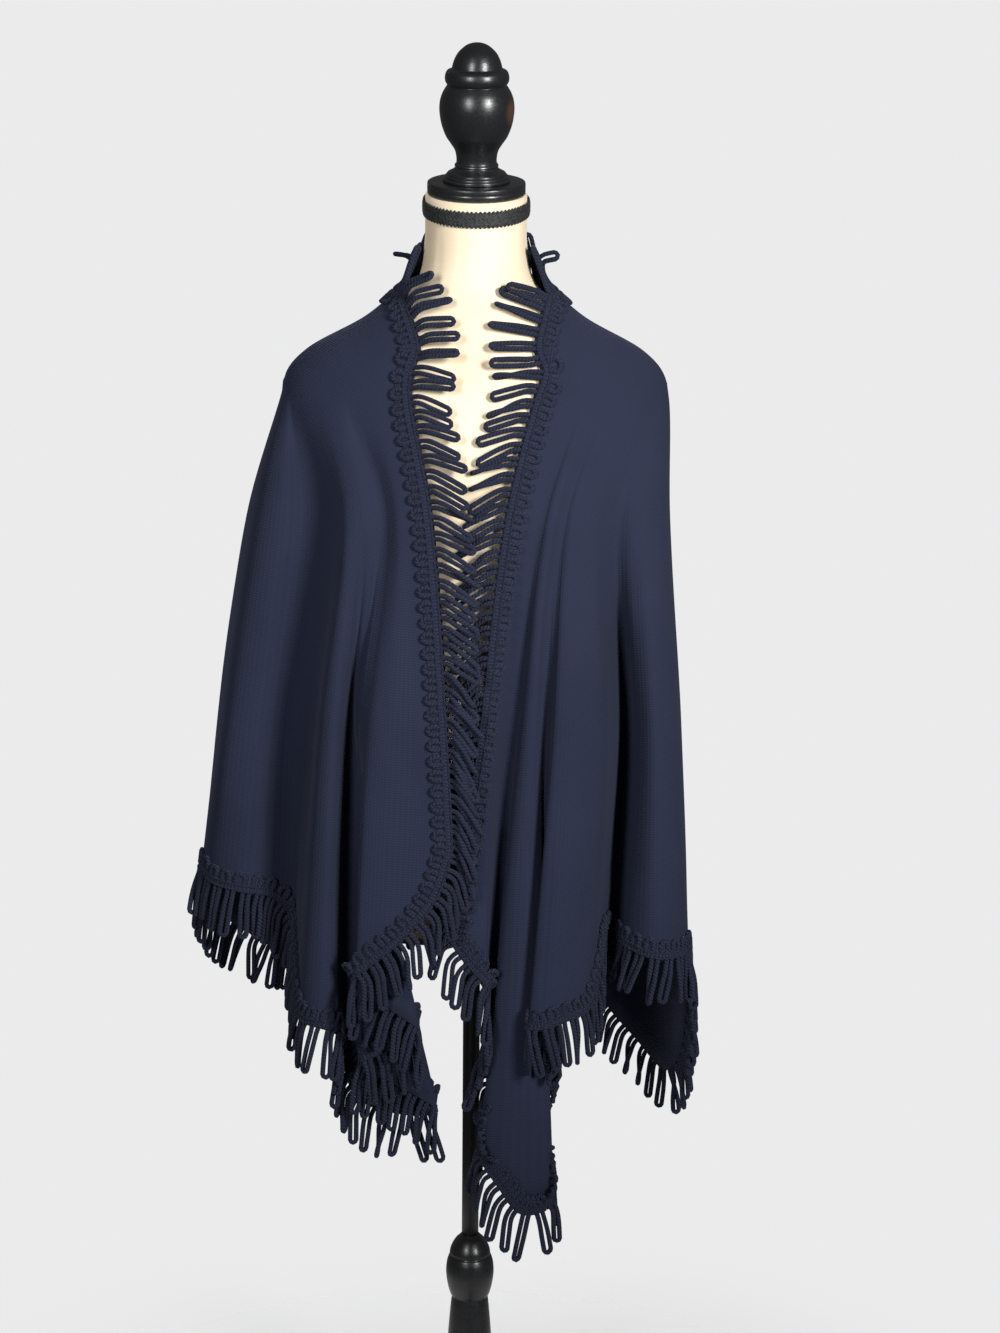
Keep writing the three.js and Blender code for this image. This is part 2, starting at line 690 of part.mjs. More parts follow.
const rightFrom = hemBreaks.rightTail + 1;
fringe(
  'fringe_front_right',
  [...hemRun(rightFrom, columnCount - 1), ...frontRun(columnCount, 'right').reverse()],
  (i, j) =>
    (i >= columnCount - frontCells && i < columnCount && j >= firstFrontRow && j < lastRow) ||
    isHem(rightFrom, columnCount)(i, j),
);

group.updateMatrixWorld(true);
const box = new THREE.Box3().setFromObject(group);
group.position.x = -(box.min.x + box.max.x) / 2;
group.position.y = -(box.min.y + box.max.y) / 2;
group.updateMatrixWorld(true);

export default group;
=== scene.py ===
import math
import random

import bpy
from mathutils import Matrix, Vector, noise
from mathutils.bvhtree import BVHTree


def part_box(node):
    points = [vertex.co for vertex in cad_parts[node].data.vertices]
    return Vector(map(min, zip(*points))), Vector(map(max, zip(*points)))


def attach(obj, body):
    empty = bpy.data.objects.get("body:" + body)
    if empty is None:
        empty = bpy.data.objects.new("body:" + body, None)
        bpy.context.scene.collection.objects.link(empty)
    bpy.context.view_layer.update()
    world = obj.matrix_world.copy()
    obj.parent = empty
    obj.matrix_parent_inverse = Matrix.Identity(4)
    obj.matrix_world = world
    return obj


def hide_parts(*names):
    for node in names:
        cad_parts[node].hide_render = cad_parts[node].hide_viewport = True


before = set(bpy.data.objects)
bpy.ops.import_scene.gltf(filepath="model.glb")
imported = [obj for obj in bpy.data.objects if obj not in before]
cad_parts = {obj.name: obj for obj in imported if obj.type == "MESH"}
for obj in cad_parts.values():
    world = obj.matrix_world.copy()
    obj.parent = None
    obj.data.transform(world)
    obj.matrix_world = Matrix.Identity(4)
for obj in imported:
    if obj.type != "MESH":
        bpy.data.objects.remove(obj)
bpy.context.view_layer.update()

# Camera
# It stands in front of the form at chest height and looks a little down, as the photograph does.
# All places below are millimetres from the pole's axis on the floor; to_row turns them to metres.
pole_low, pole_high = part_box("pole")
axis_x = (pole_low.x + pole_high.x) / 2
axis_y = (pole_low.y + pole_high.y) / 2


def to_row(place):
    return Vector((axis_x + place[0] / 1000, axis_y + place[1] / 1000, place[2] / 1000))


camera_place = (0, -2400, 1250)
camera_pitch = math.radians(8)
camera_yaw = math.radians(0.67)
camera_roll = math.radians(0.44)
focal_in_pixels = 2286
frame_height = 1333
sensor_height = 36

forward = Vector((
    math.sin(camera_yaw) * math.cos(camera_pitch),
    math.cos(camera_yaw) * math.cos(camera_pitch),
    -math.sin(camera_pitch),
))
level_right = Vector((math.cos(camera_yaw), -math.sin(camera_yaw), 0))
level_up = level_right.cross(forward)
right = level_right * math.cos(camera_roll) + level_up * math.sin(camera_roll)
up = level_up * math.cos(camera_roll) - level_right * math.sin(camera_roll)
turn = Matrix((right, up, -forward)).transposed().to_4x4()
camera_data = bpy.data.cameras.new("camera")
camera_data.sensor_fit = "VERTICAL"
camera_data.sensor_height = sensor_height
camera_data.lens = sensor_height * focal_in_pixels / frame_height
camera = bpy.data.objects.new("camera", camera_data)
camera.matrix_world = Matrix.Translation(to_row(camera_place)) @ turn
bpy.context.scene.collection.objects.link(camera)
bpy.context.scene.camera = camera
bpy.context.scene.view_settings.view_transform = "Standard"

# Studio
# A pale room with two soft window lights in front, high up, and a floor that fades into the
# background a little way out.


def linear(hex_colour):
    channels = [int(hex_colour[k:k + 2], 16) / 255 for k in (1, 3, 5)]
    curve = [c / 12.92 if c <= 0.04045 else ((c + 0.055) / 1.055) ** 2.4 for c in channels]
    return (*curve, 1)


def add_node(tree, kind, inputs=None, links=None, **settings):
    made = tree.nodes.new(kind)
    for key, value in settings.items():
        setattr(made, key, value)
    for key, value in (inputs or {}).items():
        made.inputs[key].default_value = value
    for key, socket in (links or {}).items():
        tree.links.new(socket, made.inputs[key])
    return made


room_grey = linear("#ebebec")
room_light = 0.09
world = bpy.data.worlds.new("pale_room")
world.use_nodes = True
bpy.context.scene.world = world
room = world.node_tree
room.nodes.clear()
seen_by = add_node(room, "ShaderNodeLightPath")
room_strength = add_node(
    room, "ShaderNodeMapRange",
    {"From Min": 0, "From Max": 1, "To Min": room_light, "To Max": 1},
    {"Value": seen_by.outputs["Is Camera Ray"]},
)
room_surface = add_node(
    room, "ShaderNodeBackground", {"Color": room_grey}, {"Strength": room_strength.outputs["Result"]})
add_node(room, "ShaderNodeOutputWorld", links={"Surface": room_surface.outputs["Background"]})


def add_window(name, place, aim, width, height, power, spread=180):
    data = bpy.data.lights.new(name, "AREA")
    data.shape = "RECTANGLE"
    data.size = width
    data.size_y = height
    data.energy = power
    data.spread = math.radians(spread)
    lamp = bpy.data.objects.new(name, data)
    lamp.location = to_row(place)
    direction = to_row(aim) - lamp.location
    lamp.rotation_euler = direction.to_track_quat("-Z", "Y").to_euler()
    bpy.context.scene.collection.objects.link(lamp)
    return lamp


add_window("window_left", (-1000, -2300, 1700), (0, 0, 1030), 0.55, 1.0, 3.15, 50)
add_window("window_right", (1500, -2150, 1700), (0, 0, 1060), 0.6, 1.0, 6.1, 42)
back_fill = add_window("back_fill", (-600, 2600, 2300), (0, 0, 1000), 2.0, 1.6, 105)
back_fill.visible_glossy = False

floor_solid_to = 0.1
floor_gone_at = 0.8
floor_mesh = bpy.data.meshes.new("floor")
floor_corners = [(-3, -3, 0), (3, -3, 0), (3, 3, 0), (-3, 3, 0)]
floor_mesh.from_pydata(floor_corners, [], [(0, 1, 2, 3)])
floor = bpy.data.objects.new("floor", floor_mesh)
bpy.context.scene.collection.objects.link(floor)
floor_paint = bpy.data.materials.new("pale_matt_floor")
floor_paint.use_nodes = True
tree = floor_paint.node_tree
tree.nodes.clear()
place = add_node(tree, "ShaderNodeTexCoord")
distance = add_node(
    tree, "ShaderNodeVectorMath", links={0: place.outputs["Object"]}, operation="LENGTH")
fade = add_node(
    tree, "ShaderNodeMapRange",
    {"From Min": floor_solid_to, "From Max": floor_gone_at, "To Min": 0, "To Max": 1},
    {"Value": distance.outputs["Value"]}, interpolation_type="SMOOTHSTEP",
)
matt = add_node(tree, "ShaderNodeBsdfDiffuse", {"Color": linear("#ececec")})
clear = add_node(tree, "ShaderNodeBsdfTransparent")
faded = add_node(tree, "ShaderNodeMixShader", links={
    0: fade.outputs["Result"], 1: matt.outputs["BSDF"], 2: clear.outputs["BSDF"]})
add_node(tree, "ShaderNodeOutputMaterial", links={"Surface": faded.outputs["Shader"]})
floor.data.materials.append(floor_paint)

# Torso of the dress form
# A padded core under a stretched cream jersey cover, with no head, arms or legs. The jersey is
# pulled up tight under the neck plate, which leaves faint upright creases in the neck.


def mixed(a, b, t):
    return a + (b - a) * t


def clamped(value, low, high):
    return max(low, min(high, value))


def eased(value, low, high):
    t = clamped((value - low) / (high - low), 0, 1)
    return t * t * (3 - 2 * t)


def build_mesh(name, points, faces, uvs=None):
    mesh = bpy.data.meshes.new(name)
    mesh.from_pydata([to_row(p) for p in points], [], faces)
    if uvs:
        layer = mesh.uv_layers.new(name="UVMap")
        for loop in mesh.loops:
            layer.data[loop.index].uv = uvs[loop.vertex_index]
    mesh.validate()
    mesh.shade_smooth()
    piece = bpy.data.objects.new(name, mesh)
    bpy.context.scene.collection.objects.link(piece)
    return piece


def dress_piece(piece, material, slot, *nodes):
    piece.data.materials.append(material)
    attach(piece, "root")
    if nodes:
        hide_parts(*nodes)


def start_material(name, colour, roughness):
    material = bpy.data.materials.new(name)
    material.use_nodes = True
    shader = material.node_tree.nodes["Principled BSDF"]
    shader.inputs["Base Color"].default_value = linear(colour)
    shader.inputs["Roughness"].default_value = roughness
    return material, material.node_tree, shader


neck_radius = 53.6
neck_top = 1404
neck_tilt = math.radians(15)
# Height, half width, half depth, middle in y and lean in degrees of the torso's sections
torso_sections = [
    (635, 144, 77, 0, 0), (680, 147, 79, 0, 0), (750, 143, 80, 0, 0), (820, 136, 84, 0, 0),
    (890, 138, 92, 0, 0), (950, 149, 101, -1, 0), (1010, 162, 108, -2, 0), (1060, 171, 110, -2, 0),
    (1110, 181, 107, -1, 0), (1155, 192, 101, 0, 0), (1190, 199, 92, 0, 0), (1212, 197, 85, 0, 0),
    (1230, 188, 79, 0, 0), (1248, 166, 73, 0, 0), (1266, 132, 67, 0, 0), (1284, 98, 62, 0, 2),
    (1303, 69, 58, 0, 4), (1325, 57, 55, 0, 8), (1360, neck_radius, neck_radius, 0, 12),
    (neck_top, neck_radius, neck_radius, 0, 15),
]
torso_bottom = torso_sections[0][0]


def torso_section_at(z):
    k = next((n for n, row in enumerate(torso_sections) if row[0] > z), len(torso_sections) - 1)
    k = max(k, 1)
    a, b = torso_sections[k - 1], torso_sections[k]
    t = clamped((z - a[0]) / (b[0] - a[0]), 0, 1)
    return [mixed(a[n], b[n], t) for n in range(1, 5)]


def torso_point(degrees, z):
    half_width, half_depth, middle, _ = torso_section_at(z)
    a = math.radians(degrees)
    return Vector((-half_width * math.sin(a), middle - half_depth * math.cos(a), z))


def torso_point_moved_out(degrees, z, distance):
    step = 4
    around = torso_point(degrees - step, z) - torso_point(degrees + step, z)
    upward = torso_point(degrees, z + step) - torso_point(degrees, z - step)
    return torso_point(degrees, z) + around.cross(upward).normalized() * distance


def clear_of_torso(point, distance):
    if point.z > neck_top or point.z < torso_bottom - distance:
        return point
    half_width, half_depth, middle, _ = torso_section_at(point.z)
    y = point.y - middle
    reach = math.hypot(point.x / (half_width + distance), y / (half_depth + distance))
    if reach < 1:
        return Vector((point.x / reach, middle + y / reach, point.z))
    return point


torso_sides = 144
torso_row_step = 9
jersey_inset = 0.9
neck_crease_depth = 1.3
torso_points = []
torso_uvs = []
torso_rows = int((neck_top - torso_bottom) / torso_row_step) + 1
for row in range(torso_rows + 1):
    z = mixed(torso_bottom, neck_top, row / torso_rows)
    # The mean of three near heights rounds the corners between the table's rows
    near = [torso_section_at(clamped(z + shift, torso_bottom, neck_top)) for shift in (-8, 0, 8)]
    half_width, half_depth, middle, lean = [sum(values) / 3 for values in zip(*near)]
    creased = eased(z, 1300, 1350)
    for side in range(torso_sides):
        a = 2 * math.pi * side / torso_sides
        ripple = noise.noise(Vector((math.cos(a) * 5, math.sin(a) * 5, z / 160)))
        inset = jersey_inset + creased * neck_crease_depth * max(0, ripple)
        x = (half_width - inset) * math.cos(a)
        y = middle + (half_depth - inset) * math.sin(a)
        torso_points.append((x, y, z + math.tan(math.radians(lean)) * y))
        torso_uvs.append((a * 0.12, z / 1000))
torso_faces = []
for row in range(torso_rows):
    for side in range(torso_sides):
        a = row * torso_sides + side
        b = row * torso_sides + (side + 1) % torso_sides
        torso_faces.append((a, b, b + torso_sides, a + torso_sides))
torso_faces.append(tuple(reversed(range(torso_sides))))
torso_faces.append(tuple(range(torso_rows * torso_sides, (torso_rows + 1) * torso_sides)))
jersey_cover = build_mesh("jersey_cover", torso_points, torso_faces)

# Cream cotton jersey: a matt fine knit. Its stitches are 1 mm wide, too fine to show from the
# camera, so the bump draws them at 1.6 mm. Broad soft beige clouds of noise vary the cream at random.
jersey, tree, shader = start_material("cream_cotton_jersey", "#f3e2c4", 0.86)
shader.inputs["Sheen Weight"].default_value = 0.15
stitch_pitch = 0.0016
place = add_node(tree, "ShaderNodeTexCoord")
clouds = add_node(
    tree, "ShaderNodeTexNoise", {"Scale": 9, "Detail": 3, "Roughness": 0.5},
    {"Vector": place.outputs["Object"]})
tone = add_node(tree, "ShaderNodeValToRGB", links={"Fac": clouds.outputs["Fac"]})
tone.color_ramp.elements[0].position = 0.32
tone.color_ramp.elements[0].color = linear("#e9d5b4")
tone.color_ramp.elements[1].position = 0.6
tone.color_ramp.elements[1].color = linear("#f7e6c9")
tree.links.new(tone.outputs["Color"], shader.inputs["Base Color"])
courses = add_node(
    tree, "ShaderNodeTexWave", {"Scale": 0.314 / stitch_pitch, "Distortion": 1.5, "Detail": 1},
    {"Vector": place.outputs["Object"]}, bands_direction="Z")
relief = add_node(
    tree, "ShaderNodeBump", {"Strength": 0.25, "Distance": 0.0005}, {"Height": courses.outputs["Fac"]})
tree.links.new(relief.outputs["Normal"], shader.inputs["Normal"])
dress_piece(jersey_cover, jersey, "jersey", "torso")

# Base board
# The sawn and sealed board that closes the torso below. Its plain shape is the solid's own; the
# grain runs across the form with rings about 7 mm apart.
board_wood, tree, shader = start_material("sealed_beech_board", "#7a5236", 0.5)
place = add_node(tree, "ShaderNodeTexCoord")
grain_way = add_node(
    tree, "ShaderNodeMapping", {"Scale": (1, 9, 9)}, {"Vector": place.outputs["Object"]})
grain = add_node(
    tree, "ShaderNodeTexNoise", {"Scale": 14, "Detail": 6, "Roughness": 0.6},
    {"Vector": grain_way.outputs["Vector"]})
tone = add_node(tree, "ShaderNodeValToRGB", links={"Fac": grain.outputs["Fac"]})
tone.color_ramp.elements[0].position = 0.35
tone.color_ramp.elements[0].color = linear("#5d3a24")
tone.color_ramp.elements[1].position = 0.65
tone.color_ramp.elements[1].color = linear("#94683f")
tree.links.new(tone.outputs["Color"], shader.inputs["Base Color"])
relief = add_node(
    tree, "ShaderNodeBump", {"Strength": 0.3, "Distance": 0.0004}, {"Height": grain.outputs["Fac"]})
tree.links.new(relief.outputs["Normal"], shader.inputs["Normal"])
base_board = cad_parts["base_board"]
base_board.data.materials.clear()
base_board.data.materials.append(board_wood)

# Neck braid
# Black gimp braid, plaited flat from viscose cord, with a tiny picot at each turn of the cord on
# both edges. It is glued round the neck over the jersey's top, a little lower in front.
braid_top = 5
braid_width = 14
braid_inner = neck_radius + 0.5
braid_thickness = 1.8
picot_count = 76
picot_depth = 1.8
samples_per_picot = 10
braid_levels = 14


def braid_place(around, across, lift):
    lean = math.tan(neck_tilt + math.radians(3))
    radius = braid_inner + lift
    y = radius * math.sin(around)
    return (radius * math.cos(around), y, neck_top - braid_top - across + lean * y)


braid_points = []
braid_faces = []
braid_columns = picot_count * samples_per_picot
for column in range(braid_columns):
    around = 2 * math.pi * column / braid_columns
    phase = 2 * math.pi * column / samples_per_picot
    edge = picot_depth * 0.5 * (1 + math.cos(phase))
    for level in range(braid_levels + 1):
        t = level / braid_levels
        across = mixed(-edge, braid_width + edge, t)
        chevron = 2 * math.pi * 2.5 * abs(2 * t - 1)
        plait = 0.55 * math.sin(phase + chevron)
        crown = math.sqrt(max(0, 1 - (2 * t - 1) ** 4))
        braid_points.append(braid_place(around, across, braid_thickness * crown * 0.75 + plait * crown))
    braid_points.append(braid_place(around, braid_width / 2, 0))
braid_rows = braid_levels + 2
for column in range(braid_columns):
    a = column * braid_rows
    b = ((column + 1) % braid_columns) * braid_rows
    for level in range(braid_rows):
        k = (level + 1) % braid_rows
        braid_faces.append((a + level, a + k, b + k, b + level))
gimp_braid = build_mesh("gimp_braid", braid_points, braid_faces)
viscose, tree, shader = start_material("black_viscose_gimp", "#121314", 0.65)
shader.inputs["Sheen Weight"].default_value = 0.1
place = add_node(tree, "ShaderNodeTexCoord")
threads = add_node(
    tree, "ShaderNodeTexNoise", {"Scale": 420, "Detail": 2}, {"Vector": place.outputs["Object"]})
relief = add_node(
    tree, "ShaderNodeBump", {"Strength": 0.8, "Distance": 0.001}, {"Height": threads.outputs["Fac"]})
tree.links.new(relief.outputs["Normal"], shader.inputs["Normal"])
# The colour follows the thread relief, darker in its low places and lighter on its high ones: painted shade
# and light between the threads.
tone = add_node(tree, "ShaderNodeValToRGB", links={"Fac": threads.outputs["Fac"]})
tone.color_ramp.elements[0].position = 0.4
tone.color_ramp.elements[0].color = linear("#08090a")
tone.color_ramp.elements[1].position = 0.62
tone.color_ramp.elements[1].color = linear("#2b2d2e")
tree.links.new(tone.outputs["Color"], shader.inputs["Base Color"])
dress_piece(gimp_braid, viscose, "braid", "neck_braid")

# Neck plate and finial
# Both are turned from beech and sprayed satin black: a flat disc on the neck, and on it a vase
# with stepped rings at its foot, a bead at its shoulder and a domed top.


def turned_mesh(name, outline, sides, place):
    points = [place(0, 0, outline[0][1])]
    for radius, height in outline[1:-1]:
        for side in range(sides):
            a = 2 * math.pi * side / sides
            points.append(place(radius * math.cos(a), radius * math.sin(a), height))
    points.append(place(0, 0, outline[-1][1]))
    last = len(points) - 1
    faces = []
    for side in range(sides):
        k = (side + 1) % sides
        faces.append((0, 1 + k, 1 + side))
        for ring in range(len(outline) - 3):
            a = 1 + ring * sides
            b = a + sides
            faces.append((a + side, a + k, b + k, b + side))
        top = last - sides
        faces.append((top + side, top + k, last))
    return build_mesh(name, points, faces)


def rounded_outline(outline, steps):
    # Smooth runs between corners; a corner is a point that is given with a third value
    result = []
    for n in range(len(outline) - 1):
        a, b = outline[n], outline[n + 1]
        before = outline[n - 1] if n > 0 and len(a) == 2 else None
        after = outline[n + 2] if n + 2 < len(outline) and len(b) == 2 else None
        slope_a = [(b[k] - before[k]) / 2 if before else b[k] - a[k] for k in (0, 1)]
        slope_b = [(after[k] - a[k]) / 2 if after else b[k] - a[k] for k in (0, 1)]
        for step in range(steps):
            t = step / steps
            h = (2 * t**3 - 3 * t**2 + 1, t**3 - 2 * t**2 + t, 3 * t**2 - 2 * t**3, t**3 - t**2)
            result.append(tuple(
                h[0] * a[k] + h[1] * slope_a[k] + h[2] * b[k] + h[3] * slope_b[k] for k in (0, 1)))
    result.append(tuple(outline[-1][:2]))
    return result


fit_gap = 0.3
neck_turn = Matrix.Rotation(neck_tilt, 3, "X")


def on_neck(x, y, height):
    return neck_turn @ Vector((x, y, height)) + Vector((0, 0, neck_top + fit_gap))


plate_radius = 50.7
plate_height = 13
plate_outline = [
    (0, 0, "corner"), (49.4, 0, "corner"), (50.2, 0.4), (50.6, 1.4, "corner"), (50.7, 6.5, "corner"),
    (50.2, 6.9, "corner"), (50.2, 7.3, "corner"), (50.7, 7.7, "corner"), (50.6, 11.6, "corner"),
    (50.1, 12.6), (49, plate_height, "corner"), (0, plate_height, "corner"),
]
neck_plate = turned_mesh("neck_plate_turned", rounded_outline(plate_outline, 3), 128, on_neck)

finial_base = plate_height + fit_gap
finial_outline = [
    (0, 0, "corner"), (34, 0, "corner"), (34.6, 0.6), (34.6, 2.8), (33.8, 3.6, "corner"),
    (32.6, 3.8, "corner"), (32.8, 5), (32, 6.4, "corner"), (30.4, 6.7, "corner"), (30.4, 8.2),
    (29.2, 9.4, "corner"), (27, 10.4, "corner"), (23.4, 12.6), (21.8, 14.8, "corner"),
    (22.6, 15.8), (22.2, 17.4, "corner"), (20.9, 18.4, "corner"), (20.7, 23), (22.2, 31),
    (26.4, 38), (31.8, 46), (36.2, 58), (38.2, 71), (37.6, 81), (35, 89), (31.2, 95.4, "corner"),
    (30, 96.6, "corner"), (30.9, 98, "corner"), (32.3, 100.6), (32.7, 104.4), (31.8, 108.6),
    (30, 111.2), (26.8, 112.6, "corner"), (25.6, 113.4, "corner"), (24.8, 117), (22.8, 122.6),
    (19, 129), (11.5, 135.5), (5, 138), (0, 138.5, "corner"),
]
finial = turned_mesh(
    "finial_turned", rounded_outline(finial_outline, 4), 128,
    lambda x, y, height: on_neck(x, y, height + finial_base))

# Satin black spray paint on turned beech: smooth, with fine lathe rings under the paint 0.8 mm
# apart, dust specks, and a brown place where the bulb has been held.
black_paint, tree, shader = start_material("satin_black_painted_beech", "#1c1d1f", 0.3)
shader.inputs["Coat Weight"].default_value = 0.5
shader.inputs["Coat Roughness"].default_value = 0.3
place = add_node(tree, "ShaderNodeTexCoord")
specks = add_node(
    tree, "ShaderNodeTexNoise", {"Scale": 260, "Detail": 4, "Roughness": 0.7},
    {"Vector": place.outputs["Object"]})
dull = add_node(
    tree, "ShaderNodeMapRange",
    {"From Min": 0.35, "From Max": 0.75, "To Min": 0.24, "To Max": 0.44},
    {"Value": specks.outputs["Fac"]})
tree.links.new(dull.outputs["Result"], shader.inputs["Roughness"])
lathe_rings = add_node(
    tree, "ShaderNodeTexWave", {"Scale": 250, "Distortion": 2, "Detail": 2},
    {"Vector": place.outputs["Object"]}, bands_direction="Z")
relief = add_node(
    tree, "ShaderNodeBump", {"Strength": 0.12, "Distance": 0.0003}, {"Height": lathe_rings.outputs["Fac"]})
uneven = add_node(
    tree, "ShaderNodeBump", {"Strength": 0.1, "Distance": 0.0005},
    {"Height": specks.outputs["Fac"], "Normal": relief.outputs["Normal"]})
tree.links.new(uneven.outputs["Normal"], shader.inputs["Normal"])

worn_place = on_neck(35, -13, finial_base + 72)
worn_reach = 0.016
black_worn = black_paint.copy()
black_worn.name = "satin_black_painted_beech_worn"
tree = black_worn.node_tree
place = add_node(tree, "ShaderNodeTexCoord")
away = add_node(
    tree, "ShaderNodeVectorMath", {1: to_row(worn_place)}, {0: place.outputs["Object"]},
    operation="DISTANCE")
wear = add_node(
    tree, "ShaderNodeMapRange",
    {"From Min": worn_reach * 0.3, "From Max": worn_reach, "To Min": 0.55, "To Max": 0},
    {"Value": away.outputs["Value"]}, interpolation_type="SMOOTHSTEP")
rubbed = add_node(
    tree, "ShaderNodeMixRGB", {"Color1": linear("#1c1d1f"), "Color2": linear("#6b4630")},
    {"Fac": wear.outputs["Result"]})
tree.links.new(rubbed.outputs["Color"], tree.nodes["Principled BSDF"].inputs["Base Color"])
dress_piece(neck_plate, black_paint, "black_wood", "neck_plate")
dress_piece(finial, black_worn, "black_wood", "finial")

# Pole and hub
# The pole is a steel tube with black enamel; it slides in the hub, which is turned from beech and
# sprayed as the finial is. Both stand on the pole's axis.
pole_radius = 9.1
pole_bottom = 284.3
pole_top = pole_high.z * 1000


def upright(x, y, height):
    return Vector((x, y, height))


pole_outline = [
    (0, pole_bottom, "corner"), (pole_radius - 0.3, pole_bottom, "corner"),
    (pole_radius, pole_bottom + 0.3, "corner"), (pole_radius, 450, "corner"),
    (pole_radius, pole_top - 0.3, "corner"), (pole_radius - 0.3, pole_top, "corner"),
    (0, pole_top, "corner"),
]
pole_tube = turned_mesh("pole_tube", rounded_outline(pole_outline, 2), 64, upright)
enamel, tree, shader = start_material("black_enamelled_steel", "#0e0f10", 0.34)
place = add_node(tree, "ShaderNodeTexCoord")
rub_way = add_node(
    tree, "ShaderNodeMapping", {"Scale": (60, 60, 4)}, {"Vector": place.outputs["Object"]})
rubs = add_node(
    tree, "ShaderNodeTexNoise", {"Scale": 8, "Detail": 5}, {"Vector": rub_way.outputs["Vector"]})
dull = add_node(
    tree, "ShaderNodeMapRange", {"From Min": 0.3, "From Max": 0.7, "To Min": 0.26, "To Max": 0.46},
    {"Value": rubs.outputs["Fac"]})
tree.links.new(dull.outputs["Result"], shader.inputs["Roughness"])
dress_piece(pole_tube, enamel, "black_metal", "pole")

hub_top = 284
hub_bottom = 58
hub_outline = [
    (0, hub_bottom, "corner"), (26.5, hub_bottom, "corner"), (27.7, hub_bottom + 1.2),
    (28, hub_bottom + 4), (28, 84), (26.6, 120), (24, 166), (21.2, 200), (20, 211, "corner"),
    (19.6, 213.4, "corner"), (20.6, 214.6, "corner"), (22.4, 219), (24.8, 229), (26.2, 241),
    (25.4, 252), (23.4, 259, "corner"), (22, 260.6, "corner"), (21.9, 262.2, "corner"),
    (22.3, 263.2, "corner"), (21.4, 267.6), (19.2, 273), (15.6, 278.6), (12, 282),
    (10.2, hub_top, "corner"), (0, hub_top, "corner"),
]
hub = turned_mesh("hub_turned", rounded_outline(hub_outline, 4), 96, upright)
dress_piece(hub, black_paint, "black_wood", "hub")

# Legs
# Three legs are sawn from 24 mm board with rounded edges and let into the hub. They lie below the
# photograph's edge and are finished plainly, as the hub is.
leg_thickness = 24
leg_rounding = 2.5
leg_root = 28.3
leg_reach = 262
# Each curve of a leg's outline: its start, two handles and its end, as reach and height
leg_curves = [
    ((leg_root, 128), (95, 128), (150, 92), (196, 44)), ((196, 44), (214, 27), (236, 24), (leg_reach, 22)),
    ((222, 0), (196, 4), (178, 22), (160, 40)), ((160, 40), (128, 72), (84, 84), (leg_root, 86)),
]
leg_outline = []
for start, first, second, end in leg_curves:
    for step in range(11):
        t = step / 10
        weights = ((1 - t) ** 3, 3 * t * (1 - t) ** 2, 3 * t * t * (1 - t), t**3)
        spot = tuple(
            sum(w * p[k] for w, p in zip(weights, (start, first, second, end))) for k in (0, 1))
        if not leg_outline or math.dist(leg_outline[-1], spot) > 0.01:
            leg_outline.append(spot)
    if end == (leg_reach, 22):
        leg_outline.append((leg_reach, 0))


def inset_outline(outline, depth):
    result = []
    n = len(outline)
    for k in range(n):
        before, here, after = outline[k - 1], outline[k], outline[(k + 1) % n]
        into = Vector((0, 0))
        for a, b in ((before, here), (here, after)):
            along = (Vector(b) - Vector(a)).normalized()
            into += Vector((along.y, -along.x))
        result.append(Vector(here) + into.normalized() * depth)
    return result


def leg_mesh(name, degrees):
    half = leg_thickness / 2
    layers = []
    for share, side in ((1, -half), (0.3, -half + leg_rounding * 0.3), (0, -half + leg_rounding),
                        (0, half - leg_rounding), (0.3, half - leg_rounding * 0.3), (1, half)):
        layers.append((inset_outline(leg_outline, leg_rounding * share), side))
    spin = Matrix.Rotation(math.radians(degrees), 3, "Z")
    points = [spin @ Vector((p[0], side, p[1])) for outline, side in layers for p in outline]
    n = len(leg_outline)
    faces = []
    for layer in range(len(layers) - 1):
        for k in range(n):
            a, b = layer * n + k, layer * n + (k + 1) % n
            faces.append((a, b, b + n, a + n))
    faces.append(tuple(reversed(range(n))))
    faces.append(tuple(range((len(layers) - 1) * n, len(layers) * n)))
    return build_mesh(name, points, faces)


for number in (1, 2, 3):
    leg = leg_mesh(f"leg_{number}_sawn", -90 + 120 * (number - 1))
    dress_piece(leg, black_paint, "black_wood", f"leg_{number}")

# Shawl cloth
# One piece of fine merino-type knit with no seams, cut roughly as a half round: a straight upper
# edge, rounded corners and a curved hem. It hangs from the shoulders, and both ends fall in tails.
cloth_thickness = 2.0
cloth_clearance = 1.1
yoke_clearance = 1.7
chest_z = 1080
waist_z = 840
